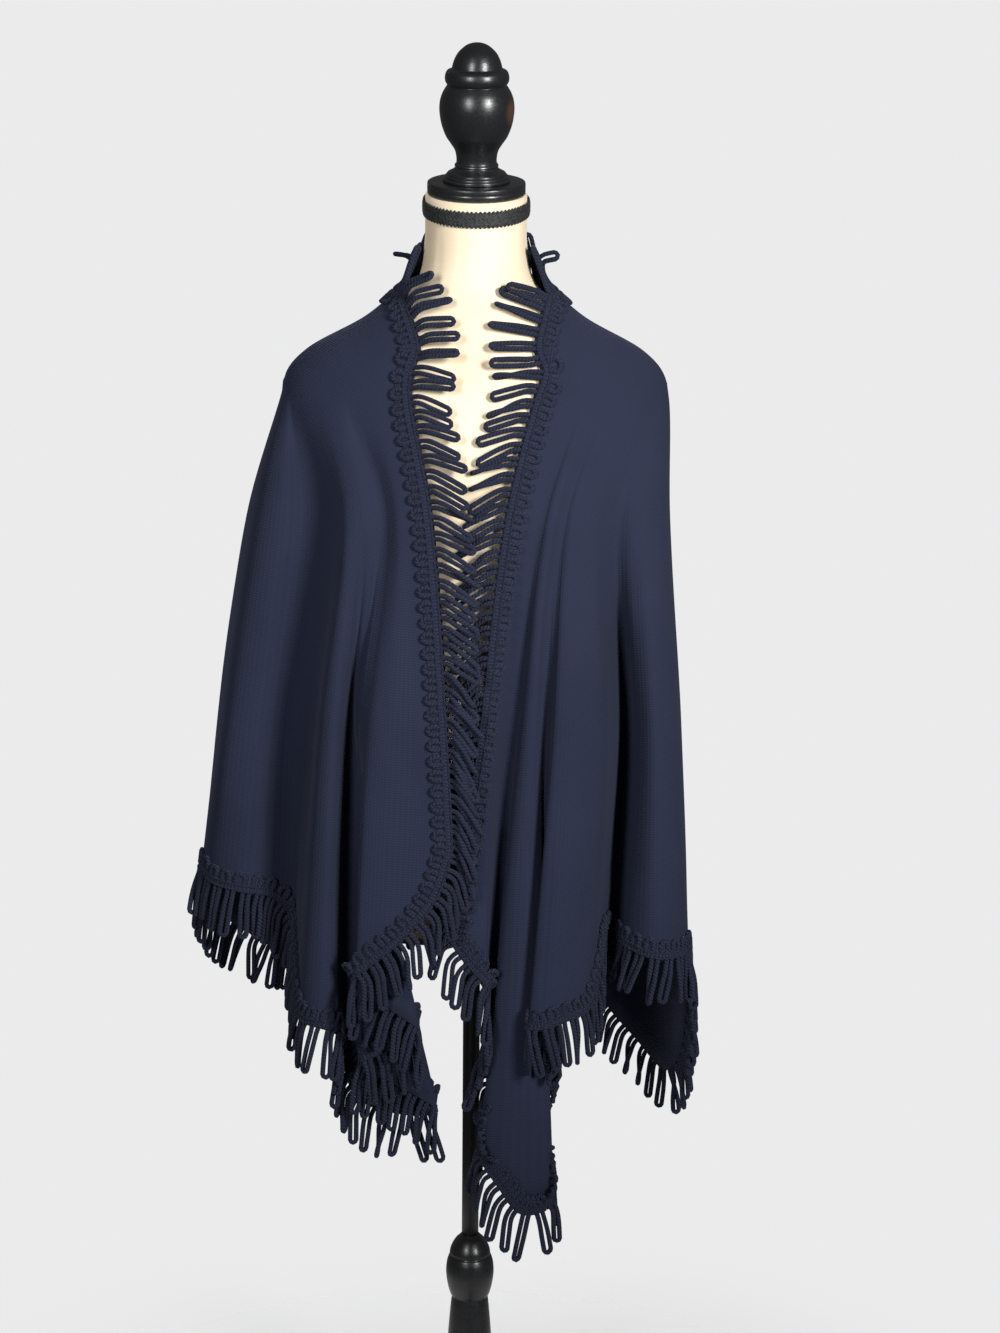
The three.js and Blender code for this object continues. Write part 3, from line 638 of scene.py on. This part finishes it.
# Fold lines from the left front edge round the back to the right front edge: neck and shoulder
# angles, places at chest and waist level, and the place and height of the hem
fold_lines = [
    (64, 18.5, -41, -124, -23, -133, -18, -132, 743),
    (67.5, 21.5, -54, -123, -39, -134, -35, -134, 691),
    (71, 25, -69, -120, -60, -133, -68, -134, 650),
    (74, 29, -77, -117, -87, -134, -95, -134, 627),
    (76.5, 33, -84, -110, -103, -130, -117, -133, 607),
    (77.6, 34.5, -88, -106, -109, -123, -117, -129, 595),
    (78.2, 36, -91, -104.5, -111, -116, -78, -127, 571),
    (78.8, 37, -94, -104, -113, -109, -52, -117, 544),
    (79.4, 38, -97, -104.5, -114, -103, -78, -111, 528),
    (79.9, 38.8, -99, -106, -115.5, -98, -111, -109, 512),
    (80.2, 39.4, -101, -107.5, -116.5, -95, -111, -101, 504),
    (80.6, 40, -103, -109, -117.5, -90, -60, -96, 474),
    (81.2, 41, -106, -110.5, -118, -85, -34, -88, 453),
    (81.8, 42, -109, -111.5, -120, -79, -62, -77, 445),
    (82.4, 43, -112, -112, -125, -75, -121, -72, 462),
    (83, 44.5, -116, -112, -131, -80, -137, -84, 524),
    (84, 46, -120, -112, -135, -97, -140, -104, 541),
    (85.5, 49, -127, -109, -143, -110, -155, -117, 551),
    (87, 53, -134, -100, -155, -103, -174, -105, 555),
    (88.5, 58, -145, -80, -165, -62, -185, -60, 597),
    (90, 63, -158, -63, -181, -34, -190, -28, 641),
    (92, 69, -176, -58, -205, -32, -214, -32, 667),
    (94, 75, -197, -67, -226, -53, -242, -48, 677),
    (96, 81, -218, -57, -253, -47, -272, -34, 683),
    (99, 89, -233, -18, -270, -6, -289, -3, 693),
    (104, 99, -236, 20, -274, 38, -284, 46, 640),
    (110, 108, -226, 58, -258, 80, -254, 92, 600),
    (118, 118, -200, 86, -226, 96, -222, 104, 578),
    (127, 128, -170, 108, -196, 132, -198, 146, 570),
    (136, 139, -136, 119, -156, 124, -160, 122, 578),
    (146, 150, -103, 128, -118, 148, -122, 160, 592),
    (157, 161, -68, 130, -76, 136, -80, 134, 615),
    (168, 171, -33, 133, -36, 154, -40, 164, 632),
    (180, 180, 2, 131, 2, 139, 2, 139, 638),
    (192, 189, 36, 133, 40, 155, 44, 166, 630),
    (203, 199, 70, 129, 78, 137, 82, 138, 602),
    (214, 210, 103, 125, 116, 142, 122, 149, 566),
    (224, 221, 133, 114, 148, 120, 152, 121, 510),
    (233, 232, 160, 98, 184, 112, 190, 118, 466),
    (242, 242, 182, 78, 205, 84, 219, 92, 441),
    (250, 251, 198, 50, 217, 52, 232, 58, 470),
    (257, 261, 205, 18, 222, 22, 236, 26, 548),
    (262, 270, 204, -10, 221, -5, 233, 0, 602),
    (264.5, 278, 194, -42, 211, -42, 222, -42, 608),
    (267, 286, 176, -64, 188, -67, 192, -64, 611),
    (269.5, 292, 161, -70, 173, -50, 166, -46, 619),
    (272, 298, 147, -70, 159, -4, 149, -2, 628),
    (274, 303, 134, -81, 146, -46, 134, -46, 628),
    (276, 308, 123, -92, 132, -93, 120, -95, 566),
    (278, 313, 109, -101, 110, -112, 93, -118, 558),
    (279.5, 317, 99, -107, 89, -117, 75, -125, 553),
    (280.5, 318.8, 95.5, -106.5, 82, -115, 60, -122, 551),
    (280.9, 319.5, 93.5, -105.5, 80.5, -110, 62, -114, 549),
    (281.3, 320.3, 91.5, -105.5, 80.5, -104, 86, -107, 541),
    (282, 321.5, 89, -107, 79, -98, 94, -84, 510),
    (282.5, 322.3, 86.5, -109, 74, -93, 71, -67, 438),
    (283, 323.2, 84, -111.5, 68, -99, 85, -92, 353),
    (284, 325, 80, -115, 59, -108, 54, -101, 345),
    (285, 326.5, 75, -115, 52, -107, 28, -102, 377),
    (286, 328, 71.5, -112, 46, -99, 12, -94, 405),
    (287, 329.5, 68, -111, 43, -89, 22, -76, 464),
    (288, 331, 63, -111.5, 33, -88, 12, -76, 513),
    (289.3, 332.8, 57, -114, 27, -98, 14, -100, 564),
    (291, 334.8, 50, -118, 20, -114, 13, -115, 592),
    (293.5, 337.2, 42, -120, 12, -118, -4, -118, 616),
    (297, 340, 30, -120, 2, -117, -25, -115, 645),
]
neckline = {"half_width": 80, "half_depth": 70, "middle_y": 4, "front_z": 1303, "back_z": 1335}
yoke_levels = [(1277, 0.65), (1243, 1), (1222, 1)]
arm_level = 1198
cloth_offset = cloth_thickness / 2 + cloth_clearance
yoke_offset = cloth_thickness / 2 + yoke_clearance


def neckline_point(degrees):
    a = math.radians(degrees)
    rise = (1 - math.cos(math.pi * (degrees - 70) / 110)) / 2
    return Vector((
        -neckline["half_width"] * math.sin(a),
        neckline["middle_y"] - neckline["half_depth"] * math.cos(a),
        mixed(neckline["front_z"], neckline["back_z"], rise),
    ))


def fold_line_places(line):
    neck, shoulder, chest_x, chest_y, waist_x, waist_y, hem_x, hem_y, hem_z = line
    chest_turn = math.degrees(math.atan2(-chest_x, -chest_y)) % 360
    yoke = [
        torso_point_moved_out(mixed(neck, shoulder, share), z, yoke_offset)
        for z, share in yoke_levels
    ]
    arm = torso_point_moved_out(mixed(shoulder, chest_turn, 0.5), arm_level, yoke_offset)
    below = [(chest_x, chest_y, chest_z), (waist_x, waist_y, waist_z), (hem_x, hem_y, hem_z)]
    return [neckline_point(neck), *yoke, arm, *(Vector(p) for p in below)]


def along_curve(points, t):
    # A centripetal curve through all the points, t from 0 to 1
    spans = len(points) - 1
    k = min(int(t * spans), spans - 1)
    share = t * spans - k
    p1, p2 = points[k], points[k + 1]
    p0 = points[k - 1] if k > 0 else p1 * 2 - p2
    p3 = points[k + 2] if k + 2 <= spans else p2 * 2 - p1
    d0, d1, d2 = ((b - a).length ** 0.5 for a, b in ((p0, p1), (p1, p2), (p2, p3)))
    d1 = d1 if d1 > 1e-4 else 1
    d0 = d0 if d0 > 1e-4 else d1
    d2 = d2 if d2 > 1e-4 else d1
    m1 = ((p1 - p0) / d0 - (p2 - p0) / (d0 + d1) + (p2 - p1) / d1) * d1
    m2 = ((p2 - p1) / d1 - (p3 - p1) / (d1 + d2) + (p3 - p2) / d2) * d1
    square, cube = share**2, share**3
    return (
        p1 * (2 * cube - 3 * square + 1) + m1 * (cube - 2 * square + share)
        + p2 * (3 * square - 2 * cube) + m2 * (cube - square)
    )


columns_per_fold = 6
row_count = 104
column_count = (len(fold_lines) - 1) * columns_per_fold
places = [fold_line_places(line) for line in fold_lines]
levels = list(zip(*places))
surface = []
for i in range(column_count + 1):
    column_levels = [along_curve(level, i / column_count) for level in levels]
    column = [along_curve(column_levels, j / row_count) for j in range(row_count + 1)]
    surface.append([clear_of_torso(p, cloth_offset) for p in column])

# Small creases, given one by one: fold line, height, length, width and depth in mm, and slant, which is
# how many fold lines the crease moves for each 100 mm down
creases = [
    (1.6, 862, 60, 7, 1.3, -2.2), (2.4, 838, 70, 8, -1.2, -2.0), (2.6, 806, 55, 8, 1.0, -1.6),
    (17.5, 980, 120, 14, 1.8, 0.3), (21.5, 900, 150, 16, 1.6, -0.2), (23.2, 780, 120, 14, 1.5, 0.4),
    (46.5, 880, 130, 14, 1.6, 0.2), (43.2, 760, 120, 13, 1.5, -0.3), (49.6, 700, 90, 10, 1.2, 0.5),
    (31.5, 1080, 140, 18, 1.8, 0.3), (35.5, 1000, 140, 18, -1.6, -0.2), (27.5, 820, 120, 16, 1.5, 0.2),
    (57.2, 600, 90, 10, 1.2, 0.3), (58.2, 470, 80, 10, -1.2, -0.3), (6.2, 700, 60, 8, 1.0, 0.2),
]
mm_per_fold = 24


def crease_at(fold, z):
    depth = 0
    for middle, height, length, width, deep, slant in creases:
        down_by = (height - z) / 100
        across = (fold - middle - slant * down_by) * mm_per_fold / width
        along = (z - height) / length
        if abs(across) < 3 and abs(along) < 1:
            depth += deep * math.exp(-across * across) * (1 - along * along)
    return depth


def surface_normal(i, j):
    west, east = surface[max(i - 1, 0)][j], surface[min(i + 1, column_count)][j]
    above, below = surface[i][max(j - 1, 0)], surface[i][min(j + 1, row_count)]
    return (east - west).cross(below - above).normalized()


normals = [[surface_normal(i, j) for j in range(row_count + 1)] for i in range(column_count + 1)]
wave_depth = 1.5
draped = []
for i in range(column_count + 1):
    fold = i / columns_per_fold
    column = []
    for j in range(row_count + 1):
        p = surface[i][j]
        free = eased(p.z, 1190, 1060) if p.z > 1060 else 1
        wave = noise.noise(Vector((p.x / 60, p.y / 60, p.z / 170)))
        shift = free * (wave_depth * wave + crease_at(fold, p.z))
        column.append(clear_of_torso(p + normals[i][j] * shift, cloth_offset))
    draped.append(column)
surface = draped
normals = [[surface_normal(i, j) for j in range(row_count + 1)] for i in range(column_count + 1)]

cloth_points = []
cloth_uvs = []
across_run = [0.0]
mid_row = int(row_count * 0.62)
for i in range(1, column_count + 1):
    across_run.append(across_run[-1] + (surface[i][mid_row] - surface[i - 1][mid_row]).length / 1000)
for side in (1, -1):
    for i in range(column_count + 1):
        down_run = 0.0
        for j in range(row_count + 1):
            if j:
                down_run += (surface[i][j] - surface[i][j - 1]).length / 1000
            cloth_points.append(surface[i][j] + normals[i][j] * side * cloth_thickness / 2)
            cloth_uvs.append((across_run[i], -down_run))
cloth_faces = []
stride = row_count + 1
under = stride * (column_count + 1)
for i in range(column_count):
    for j in range(row_count):
        a, b, c, d = i * stride + j, (i + 1) * stride + j, (i + 1) * stride + j + 1, i * stride + j + 1
        cloth_faces.append((a, b, c, d))
        cloth_faces.append((under + a, under + d, under + c, under + b))
outer_face_count = len(cloth_faces)
rim = [(0, j) for j in range(row_count)]
rim += [(i, row_count) for i in range(column_count)]
rim += [(column_count, j) for j in range(row_count, 0, -1)]
rim += [(i, 0) for i in range(column_count, 0, -1)]
for k, (i, j) in enumerate(rim):
    m, n = rim[(k + 1) % len(rim)]
    a, b = i * stride + j, m * stride + n
    cloth_faces.append((a, b, under + b, under + a))
shawl = build_mesh("shawl_knit", cloth_points, cloth_faces, cloth_uvs)

# Navy fine-gauge wool knit: matt and a little fuzzy. Its courses run along the shawl; they are
# 1.5 mm apart, and the bump draws them at 2.6 mm so that they show, with wales at 2.1 mm. A wave
# texture's band is 0.314 divided by its scale wide.
knit, tree, shader = start_material("navy_fine_knit_wool", "#25283d", 0.95)
shader.inputs["Sheen Weight"].default_value = 0.12
shader.inputs["Sheen Roughness"].default_value = 0.5
shader.inputs["Sheen Tint"].default_value = linear("#9499b4")
shader.inputs["Specular IOR Level"].default_value = 0.25
course_pitch = 0.0026
wale_pitch = 0.0021
laid_out = add_node(tree, "ShaderNodeUVMap")
courses = add_node(
    tree, "ShaderNodeTexWave", {"Scale": 0.314 / course_pitch, "Distortion": 0.6, "Detail": 1},
    {"Vector": laid_out.outputs["UV"]}, bands_direction="Y")
wales = add_node(
    tree, "ShaderNodeTexWave", {"Scale": 0.314 / wale_pitch, "Distortion": 0.4, "Detail": 1},
    {"Vector": laid_out.outputs["UV"]}, bands_direction="X")
ribbed = add_node(tree, "ShaderNodeMath", {1: 0.5}, {0: wales.outputs["Fac"]}, operation="MULTIPLY")
stitches = add_node(
    tree, "ShaderNodeMath", links={0: courses.outputs["Fac"], 1: ribbed.outputs["Value"]}, operation="ADD")
place = add_node(tree, "ShaderNodeTexCoord")
fuzz = add_node(
    tree, "ShaderNodeTexNoise", {"Scale": 420, "Detail": 3, "Roughness": 0.7},
    {"Vector": place.outputs["Object"]})
yarn = add_node(
    tree, "ShaderNodeMath", links={0: stitches.outputs["Value"], 1: fuzz.outputs["Fac"]}, operation="ADD")
relief = add_node(
    tree, "ShaderNodeBump", {"Strength": 0.5, "Distance": 0.0006}, {"Height": yarn.outputs["Value"]})
tree.links.new(relief.outputs["Normal"], shader.inputs["Normal"])
patches = add_node(
    tree, "ShaderNodeTexNoise", {"Scale": 5, "Detail": 4, "Roughness": 0.55},
    {"Vector": place.outputs["Object"]})
tone = add_node(tree, "ShaderNodeValToRGB", links={"Fac": patches.outputs["Fac"]})
tone.color_ramp.elements[0].position = 0.3
tone.color_ramp.elements[0].color = linear("#1d2335")
tone.color_ramp.elements[1].position = 0.7
tone.color_ramp.elements[1].color = linear("#24293f")
# The base colour follows the stitch relief, darker in its hollows and lighter on its tops: painted shade
# and light between the stitches.
painted_stitch_shade = add_node(
    tree, "ShaderNodeMapRange", {"From Min": 0.3, "From Max": 2.2, "To Min": 0.84, "To Max": 1.13},
    {"Value": yarn.outputs["Value"]})
shaded = add_node(
    tree, "ShaderNodeVectorMath", links={0: tone.outputs["Color"], "Scale": painted_stitch_shade.outputs["Result"]},
    operation="SCALE")
tree.links.new(shaded.outputs["Vector"], shader.inputs["Base Color"])
dress_piece(shawl, knit, "knit", "shawl_cloth")

# Loop fringe
# A hairpin trim of soft twisted cord, sewn on all round the shawl. The cord runs to and fro: small
# round lobes lie on the cloth, long loops hang from the edge, and two rows of chain hold them.
trim_pitch = 15.6
cord_radius = 2.65
loop_length = 44
lobe_reach = 21
chain_rows = (2.8, 8.8)
chain_radius = 1.15
chain_link = 4.2
chain_height = 3.7
# The binding between the chains, across from the rim: inward place and height over the cloth
binding_section = [(1.0, 0.2), (1.8, 2.4), (3.8, 3.4), (7.8, 3.4), (9.8, 2.4), (11.8, 1.5), (17.5, 1.2),
                   (18.4, 0.2)]
trim_height = 1.9
rim_smoothing = 3

outer_tree = BVHTree.FromPolygons(
    cloth_points[:under], [face for face in cloth_faces[:outer_face_count:2]])
wall_tree = BVHTree.FromPolygons(cloth_points, cloth_faces)

rim_points = [surface[i][j] for i, j in rim]
rim_count = len(rim_points)
rim_tangents = [
    (rim_points[(k + 2) % rim_count] - rim_points[k - 2]).normalized() for k in range(rim_count)]
rim_outward = [
    normals[i][j].cross(rim_tangents[k]).normalized() for k, (i, j) in enumerate(rim)]


def smoothed(vectors, reach):
    n = len(vectors)
    result = []
    for k in range(n):
        total = Vector((0, 0, 0))
        for step in range(-reach, reach + 1):
            total += vectors[(k + step) % n]
        result.append(total.normalized())
    return result


rim_outward = smoothed(rim_outward, rim_smoothing)
rim_normals = smoothed([normals[i][j] for i, j in rim], 2)
rim_lengths = [0.0]
for k in range(rim_count):
    rim_lengths.append(rim_lengths[-1] + (rim_points[(k + 1) % rim_count] - rim_points[k]).length)
trim_total = rim_lengths[-1]
period_count = round(trim_total / trim_pitch)
pitch = trim_total / period_count
rim_corners = {
    "left_hem": rim_lengths[row_count],
    "right_hem": rim_lengths[row_count + column_count],
    "right_neck": rim_lengths[2 * row_count + column_count],
}


def rim_frame(run):
    run %= trim_total
    low, high = 0, rim_count
    while high - low > 1:
        middle = (low + high) // 2
        if rim_lengths[middle] <= run:
            low = middle
        else:
            high = middle
    span = rim_lengths[low + 1] - rim_lengths[low]
    t = (run - rim_lengths[low]) / span if span > 0 else 0
    k, n = low, (low + 1) % rim_count
    return (
        rim_points[k].lerp(rim_points[n], t),
        rim_outward[k].lerp(rim_outward[n], t).normalized(),
        rim_normals[k].lerp(rim_normals[n], t).normalized(),
        low,
    )


def on_cloth(run, inward, height):
    point, outward, normal, _ = rim_frame(run)
    spot = point - outward * inward + normal * cloth_thickness / 2
    found, face_normal, _, far = outer_tree.find_nearest(spot, 7)
    if found is not None and inward > 0 and face_normal.dot(normal) > 0.2:
        return found + face_normal.normalized() * height
    return spot + normal * height


def side_of_rim(low):
    if low < row_count:
        return "left"
    if low < row_count + column_count:
        return "hem"
    if low < 2 * row_count + column_count:
        return "right"
    return "neck"


# How far a front loop has dropped from straight out, in degrees, by height
droops = [(560, 78), (700, 66), (820, 58), (900, 50), (960, 39), (1010, 31), (1080, 24), (1180, 18),
          (1220, 8), (1262, -2), (1290, -20)]
hem_droop = 80
front_lift = {"left": 6, "right": 0.5, "hem": 1.5, "neck": 0}
turn_in_lengths = {"left": 6, "right": 6, "hem": 13, "neck": 14}


def droop_at(z):
    k = next((n for n, row in enumerate(droops) if row[0] > z), len(droops) - 1)
    k = max(k, 1)
    a, b = droops[k - 1], droops[k]
    return mixed(a[1], b[1], clamped((z - a[0]) / (b[0] - a[0]), 0, 1))


# The loops of the layer that is folded behind the right tail lie tucked in behind it
tucked_way = Vector((-0.9, 0.44, 0)).normalized()


def behind_tail(root):
    return 62 < root.x < 100 and -98 < root.y < -60 and 372 < root.z < 545


def loop_ways(kind, root, outward, chance):
    # The way that a loop takes from its root, and the way that its outer half takes
    if kind == "neck":
        angle = math.degrees(math.atan2(-root.x, -(root.y - neckline["middle_y"]))) % 360
        target = torso_point_moved_out(angle, min(root.z + 52, neck_top - 8), 5)
        way = (target - root).normalized()
        if min(abs(angle - 112), abs(angle - 250)) > 6:
            return way, way
        flat = Vector((root.x, root.y * 0.3, 0)).normalized()
        return way, (flat + Vector((0, 0, chance.uniform(0.1, 0.6)))).normalized()
    droop = hem_droop if kind == "hem" else droop_at(root.z)
    turn = math.radians(droop + chance.uniform(-7, 7))
    level = Vector((outward.x, outward.y, 0)).normalized()
    if kind == "hem" and behind_tail(root):
        level = tucked_way
        turn = math.radians(50)
    way = level * math.cos(turn) + Vector((0, 0, -math.sin(turn)))
    return way, way


def pushed_clear(point, gap):
    point = clear_of_torso(point, gap + 0.6)
    found, face_normal, _, far = wall_tree.find_nearest(point, gap)
    if found is not None and far < gap:
        away = point - found
        away = away.normalized() if (away.dot(face_normal) > 0 and far > 0.05) else face_normal.normalized()
        point = found + away * gap
    return point


# The round end of a loop, from one leg to the other: shares of its half width, across and beyond
tip_shape = [(-0.72, 0.6), (0, 0.95), (0.72, 0.6)]


def loop_path(period, chance):
    run = (period + 0.5) * pitch
    point, outward, normal, low = rim_frame(run)
    kind = side_of_rim(low)
    along = outward.cross(normal).normalized()
    way, tip_way = loop_ways(kind, point, outward, chance)
    lean = along * chance.uniform(-0.13, 0.13)
    length = loop_length * chance.uniform(0.93, 1.05)
    lift = front_lift[kind]
    turn_in = turn_in_lengths[kind]
    steps = 9
    centres = []
    here = point + normal * (cloth_thickness / 2 + trim_height * 0.6)
    for step in range(steps + 1):
        centres.append(here.copy())
        t = step / steps
        bend = eased(t * length, 0, turn_in)
        heading = outward.lerp(way.lerp(tip_way, eased(t, 0.4, 0.7)), bend) + lean * bend
        heading += Vector((0, 0, -0.06 * t))
        if kind == "left" or kind == "hem":
            heading += normal * (lift / turn_in) * (1 - eased(t * length, 8, turn_in + 8))
        here = here + heading.normalized() * (length / steps)
    clear = [centres[0]] + [pushed_clear(c, cord_radius + 0.9) for c in centres[1:]]
    for _ in range(2):
        middle = [(a + b * 2 + c) / 4 for a, b, c in zip(clear, clear[1:], clear[2:])]
        clear = [clear[0], *middle, clear[-1]]
    twist = chance.uniform(-0.9, 0.9) if chance.random() < 0.75 else chance.uniform(1.0, 1.7)
    gap = chance.uniform(3.0, 4.0)
    out_leg = []
    back_leg = []
    for step in range(1, steps + 1):
        t = step / steps
        direction = (clear[step] - clear[step - 1]).normalized()
        side = along - direction * along.dot(direction)
        side = Matrix.Rotation(twist * eased(t, 0, 1), 3, direction) @ side.normalized()
        spread = mixed(3.0, gap, eased(t, 0, 0.7))
        out_leg.append(clear[step] - side * spread)
        back_leg.append(clear[step] + side * spread)
    last_way = (clear[-1] - clear[-2]).normalized()
    tip = [clear[-1] + side * gap * along_tip + last_way * gap * beyond for along_tip, beyond in tip_shape]
    return out_leg, tip, list(reversed(back_leg))


# The lobe's centre line: along the rim from its middle, and inward from the rim
lobe_shape = [(-2.9, 8), (-4.0, 12.4), (-4.3, 16.4), (-2.7, 19.8), (0, lobe_reach),
              (2.7, 19.8), (4.3, 16.4), (4.0, 12.4), (2.9, 8)]


def cord_run(first, last, seed):
    chance = random.Random(seed)
    path = []
    for period in range(first, last):
        out_leg, tip, back_leg = loop_path(period, chance)
        middle = (period + 0.5) * pitch
        path += [on_cloth(middle - 3.2, 7.5, 0.6), on_cloth(middle - 3.2, 1.5, 1.4)]
        path += [*out_leg, *tip, *back_leg]
        path += [on_cloth(middle + 3.2, 1.5, 1.4), on_cloth(middle + 3.2, 7.5, 0.6)]
        for along, inward in lobe_shape:
            path.append(on_cloth(middle + pitch / 2 + along, inward, trim_height))
    return path


def tube(points, radii, sides):
    n = len(points)
    ways = []
    for k in range(n):
        way = points[min(k + 1, n - 1)] - points[max(k - 1, 0)]
        ways.append(way.normalized() if way.length > 1e-6 else Vector((0, 0, -1)))
    side = ways[0].orthogonal().normalized()
    verts, uvs, faces = [], [], []
    run = 0
    for k in range(n):
        side = (side - ways[k] * side.dot(ways[k]))
        side = side.normalized() if side.length > 1e-6 else ways[k].orthogonal().normalized()
        other = ways[k].cross(side)
        if k:
            run += (points[k] - points[k - 1]).length / 1000
        for s in range(sides):
            a = 2 * math.pi * s / sides
            verts.append(points[k] + (side * math.cos(a) + other * math.sin(a)) * radii[k])
            uvs.append((s / sides, run))
    for k in range(n - 1):
        for s in range(sides):
            a, b = k * sides + s, k * sides + (s + 1) % sides
            faces.append((a, b, b + sides, a + sides))
    faces.append(tuple(reversed(range(sides))))
    faces.append(tuple(range((n - 1) * sides, n * sides)))
    return verts, faces, uvs


def chain_run(first, last, inward, shift):
    points, radii = [], []
    start, end = first * pitch, last * pitch
    samples = max(8, round((end - start) / (chain_link / 4)))
    for k in range(samples + 1):
        run = mixed(start, end, k / samples)
        swing = math.sin(2 * math.pi * (run / chain_link + shift))
        points.append(on_cloth(run, inward + swing * 0.5, chain_height))
        radii.append(chain_radius * (0.45 + 0.55 * abs(swing)))
    return points, radii


def binding(first, last):
    start, end = first * pitch, last * pitch
    samples = (last - first) * 8
    across = len(binding_section)
    verts, faces, uvs = [], [], []
    for k in range(samples + 1):
        run = mixed(start, end, k / samples)
        swell = 0.35 * math.cos(4 * math.pi * run / pitch)
        for inward, height in binding_section:
            verts.append(on_cloth(run, inward, height + (swell if height > 1 else 0)))
            uvs.append((inward / 1000, run / 1000))
    for k in range(samples):
        for s in range(across):
            a, b = k * across + s, k * across + (s + 1) % across
            faces.append((a, b, b + across, a + across))
    faces.append(tuple(reversed(range(across))))
    faces.append(tuple(range(samples * across, (samples + 1) * across)))
    return verts, faces, uvs


# Soft twisted cotton-like cord in the shawl's navy: matt, with two plies that show a line every
# 3.6 mm. The mapping turns the cord's length into plies, and the wave draws one band for each.
cord_yarn, tree, shader = start_material("navy_twisted_cord", "#22253a", 0.9)
shader.inputs["Sheen Weight"].default_value = 0.12
shader.inputs["Sheen Tint"].default_value = linear("#9499b4")
shader.inputs["Specular IOR Level"].default_value = 0.3
ply_spacing = 0.0036
laid_out = add_node(tree, "ShaderNodeUVMap")
ply_way = add_node(
    tree, "ShaderNodeMapping", {"Scale": (2, 1 / ply_spacing, 1)},
    {"Vector": laid_out.outputs["UV"]})
plies = add_node(
    tree, "ShaderNodeTexWave", {"Scale": 0.628, "Distortion": 0.3},
    {"Vector": ply_way.outputs["Vector"]}, bands_direction="DIAGONAL")
place = add_node(tree, "ShaderNodeTexCoord")
fuzz = add_node(
    tree, "ShaderNodeTexNoise", {"Scale": 700, "Detail": 2}, {"Vector": place.outputs["Object"]})
twist_and_fuzz = add_node(
    tree, "ShaderNodeMath", links={0: plies.outputs["Fac"], 1: fuzz.outputs["Fac"]}, operation="ADD")
relief = add_node(
    tree, "ShaderNodeBump", {"Strength": 0.9, "Distance": 0.0009},
    {"Height": twist_and_fuzz.outputs["Value"]})
tree.links.new(relief.outputs["Normal"], shader.inputs["Normal"])
# The colour follows the ply bands, darker in the groove between the plies and lighter on their crests:
# painted shade and light.
tone = add_node(
    tree, "ShaderNodeMixRGB", {"Color1": linear("#141828"), "Color2": linear("#242940")},
    {"Fac": plies.outputs["Fac"]})
tree.links.new(tone.outputs["Color"], shader.inputs["Base Color"])

# Stretches of trim, each with the solid that it stands for and the run of rim that it covers
def rim_run_at_column(i):
    return rim_lengths[row_count + round(i / 2 * columns_per_fold)]


stretch_ends = [
    ("fringe_front_left", 0), ("fringe_tail_left", rim_run_at_column(8)),
    ("fringe_side_left", rim_run_at_column(30)), ("fringe_back", rim_run_at_column(52)),
    ("fringe_side_right", rim_run_at_column(78)), ("fringe_tail_right", rim_run_at_column(102)),
    ("fringe_front_right", rim_run_at_column(122)), ("fringe_neck", rim_corners["right_neck"]),
]
for number, (node_name, start) in enumerate(stretch_ends):
    end = stretch_ends[number + 1][1] if number + 1 < len(stretch_ends) else trim_total
    first, last = round(start / pitch), round(end / pitch)
    path = cord_run(first, last, number + 1)
    verts, faces, uvs = tube(path, [cord_radius] * len(path), 6)
    added = [binding(first, last)]
    for shift, inward in enumerate(chain_rows):
        points, radii = chain_run(first, last, inward, shift * 0.5)
        added.append(tube(points, radii, 5))
    for more, more_faces, more_uvs in added:
        faces += [tuple(k + len(verts) for k in face) for face in more_faces]
        verts += more
        uvs += more_uvs
    trim = build_mesh(node_name.replace("fringe", "loop_trim"), verts, faces, uvs)
    dress_piece(trim, cord_yarn, "fringe", node_name)
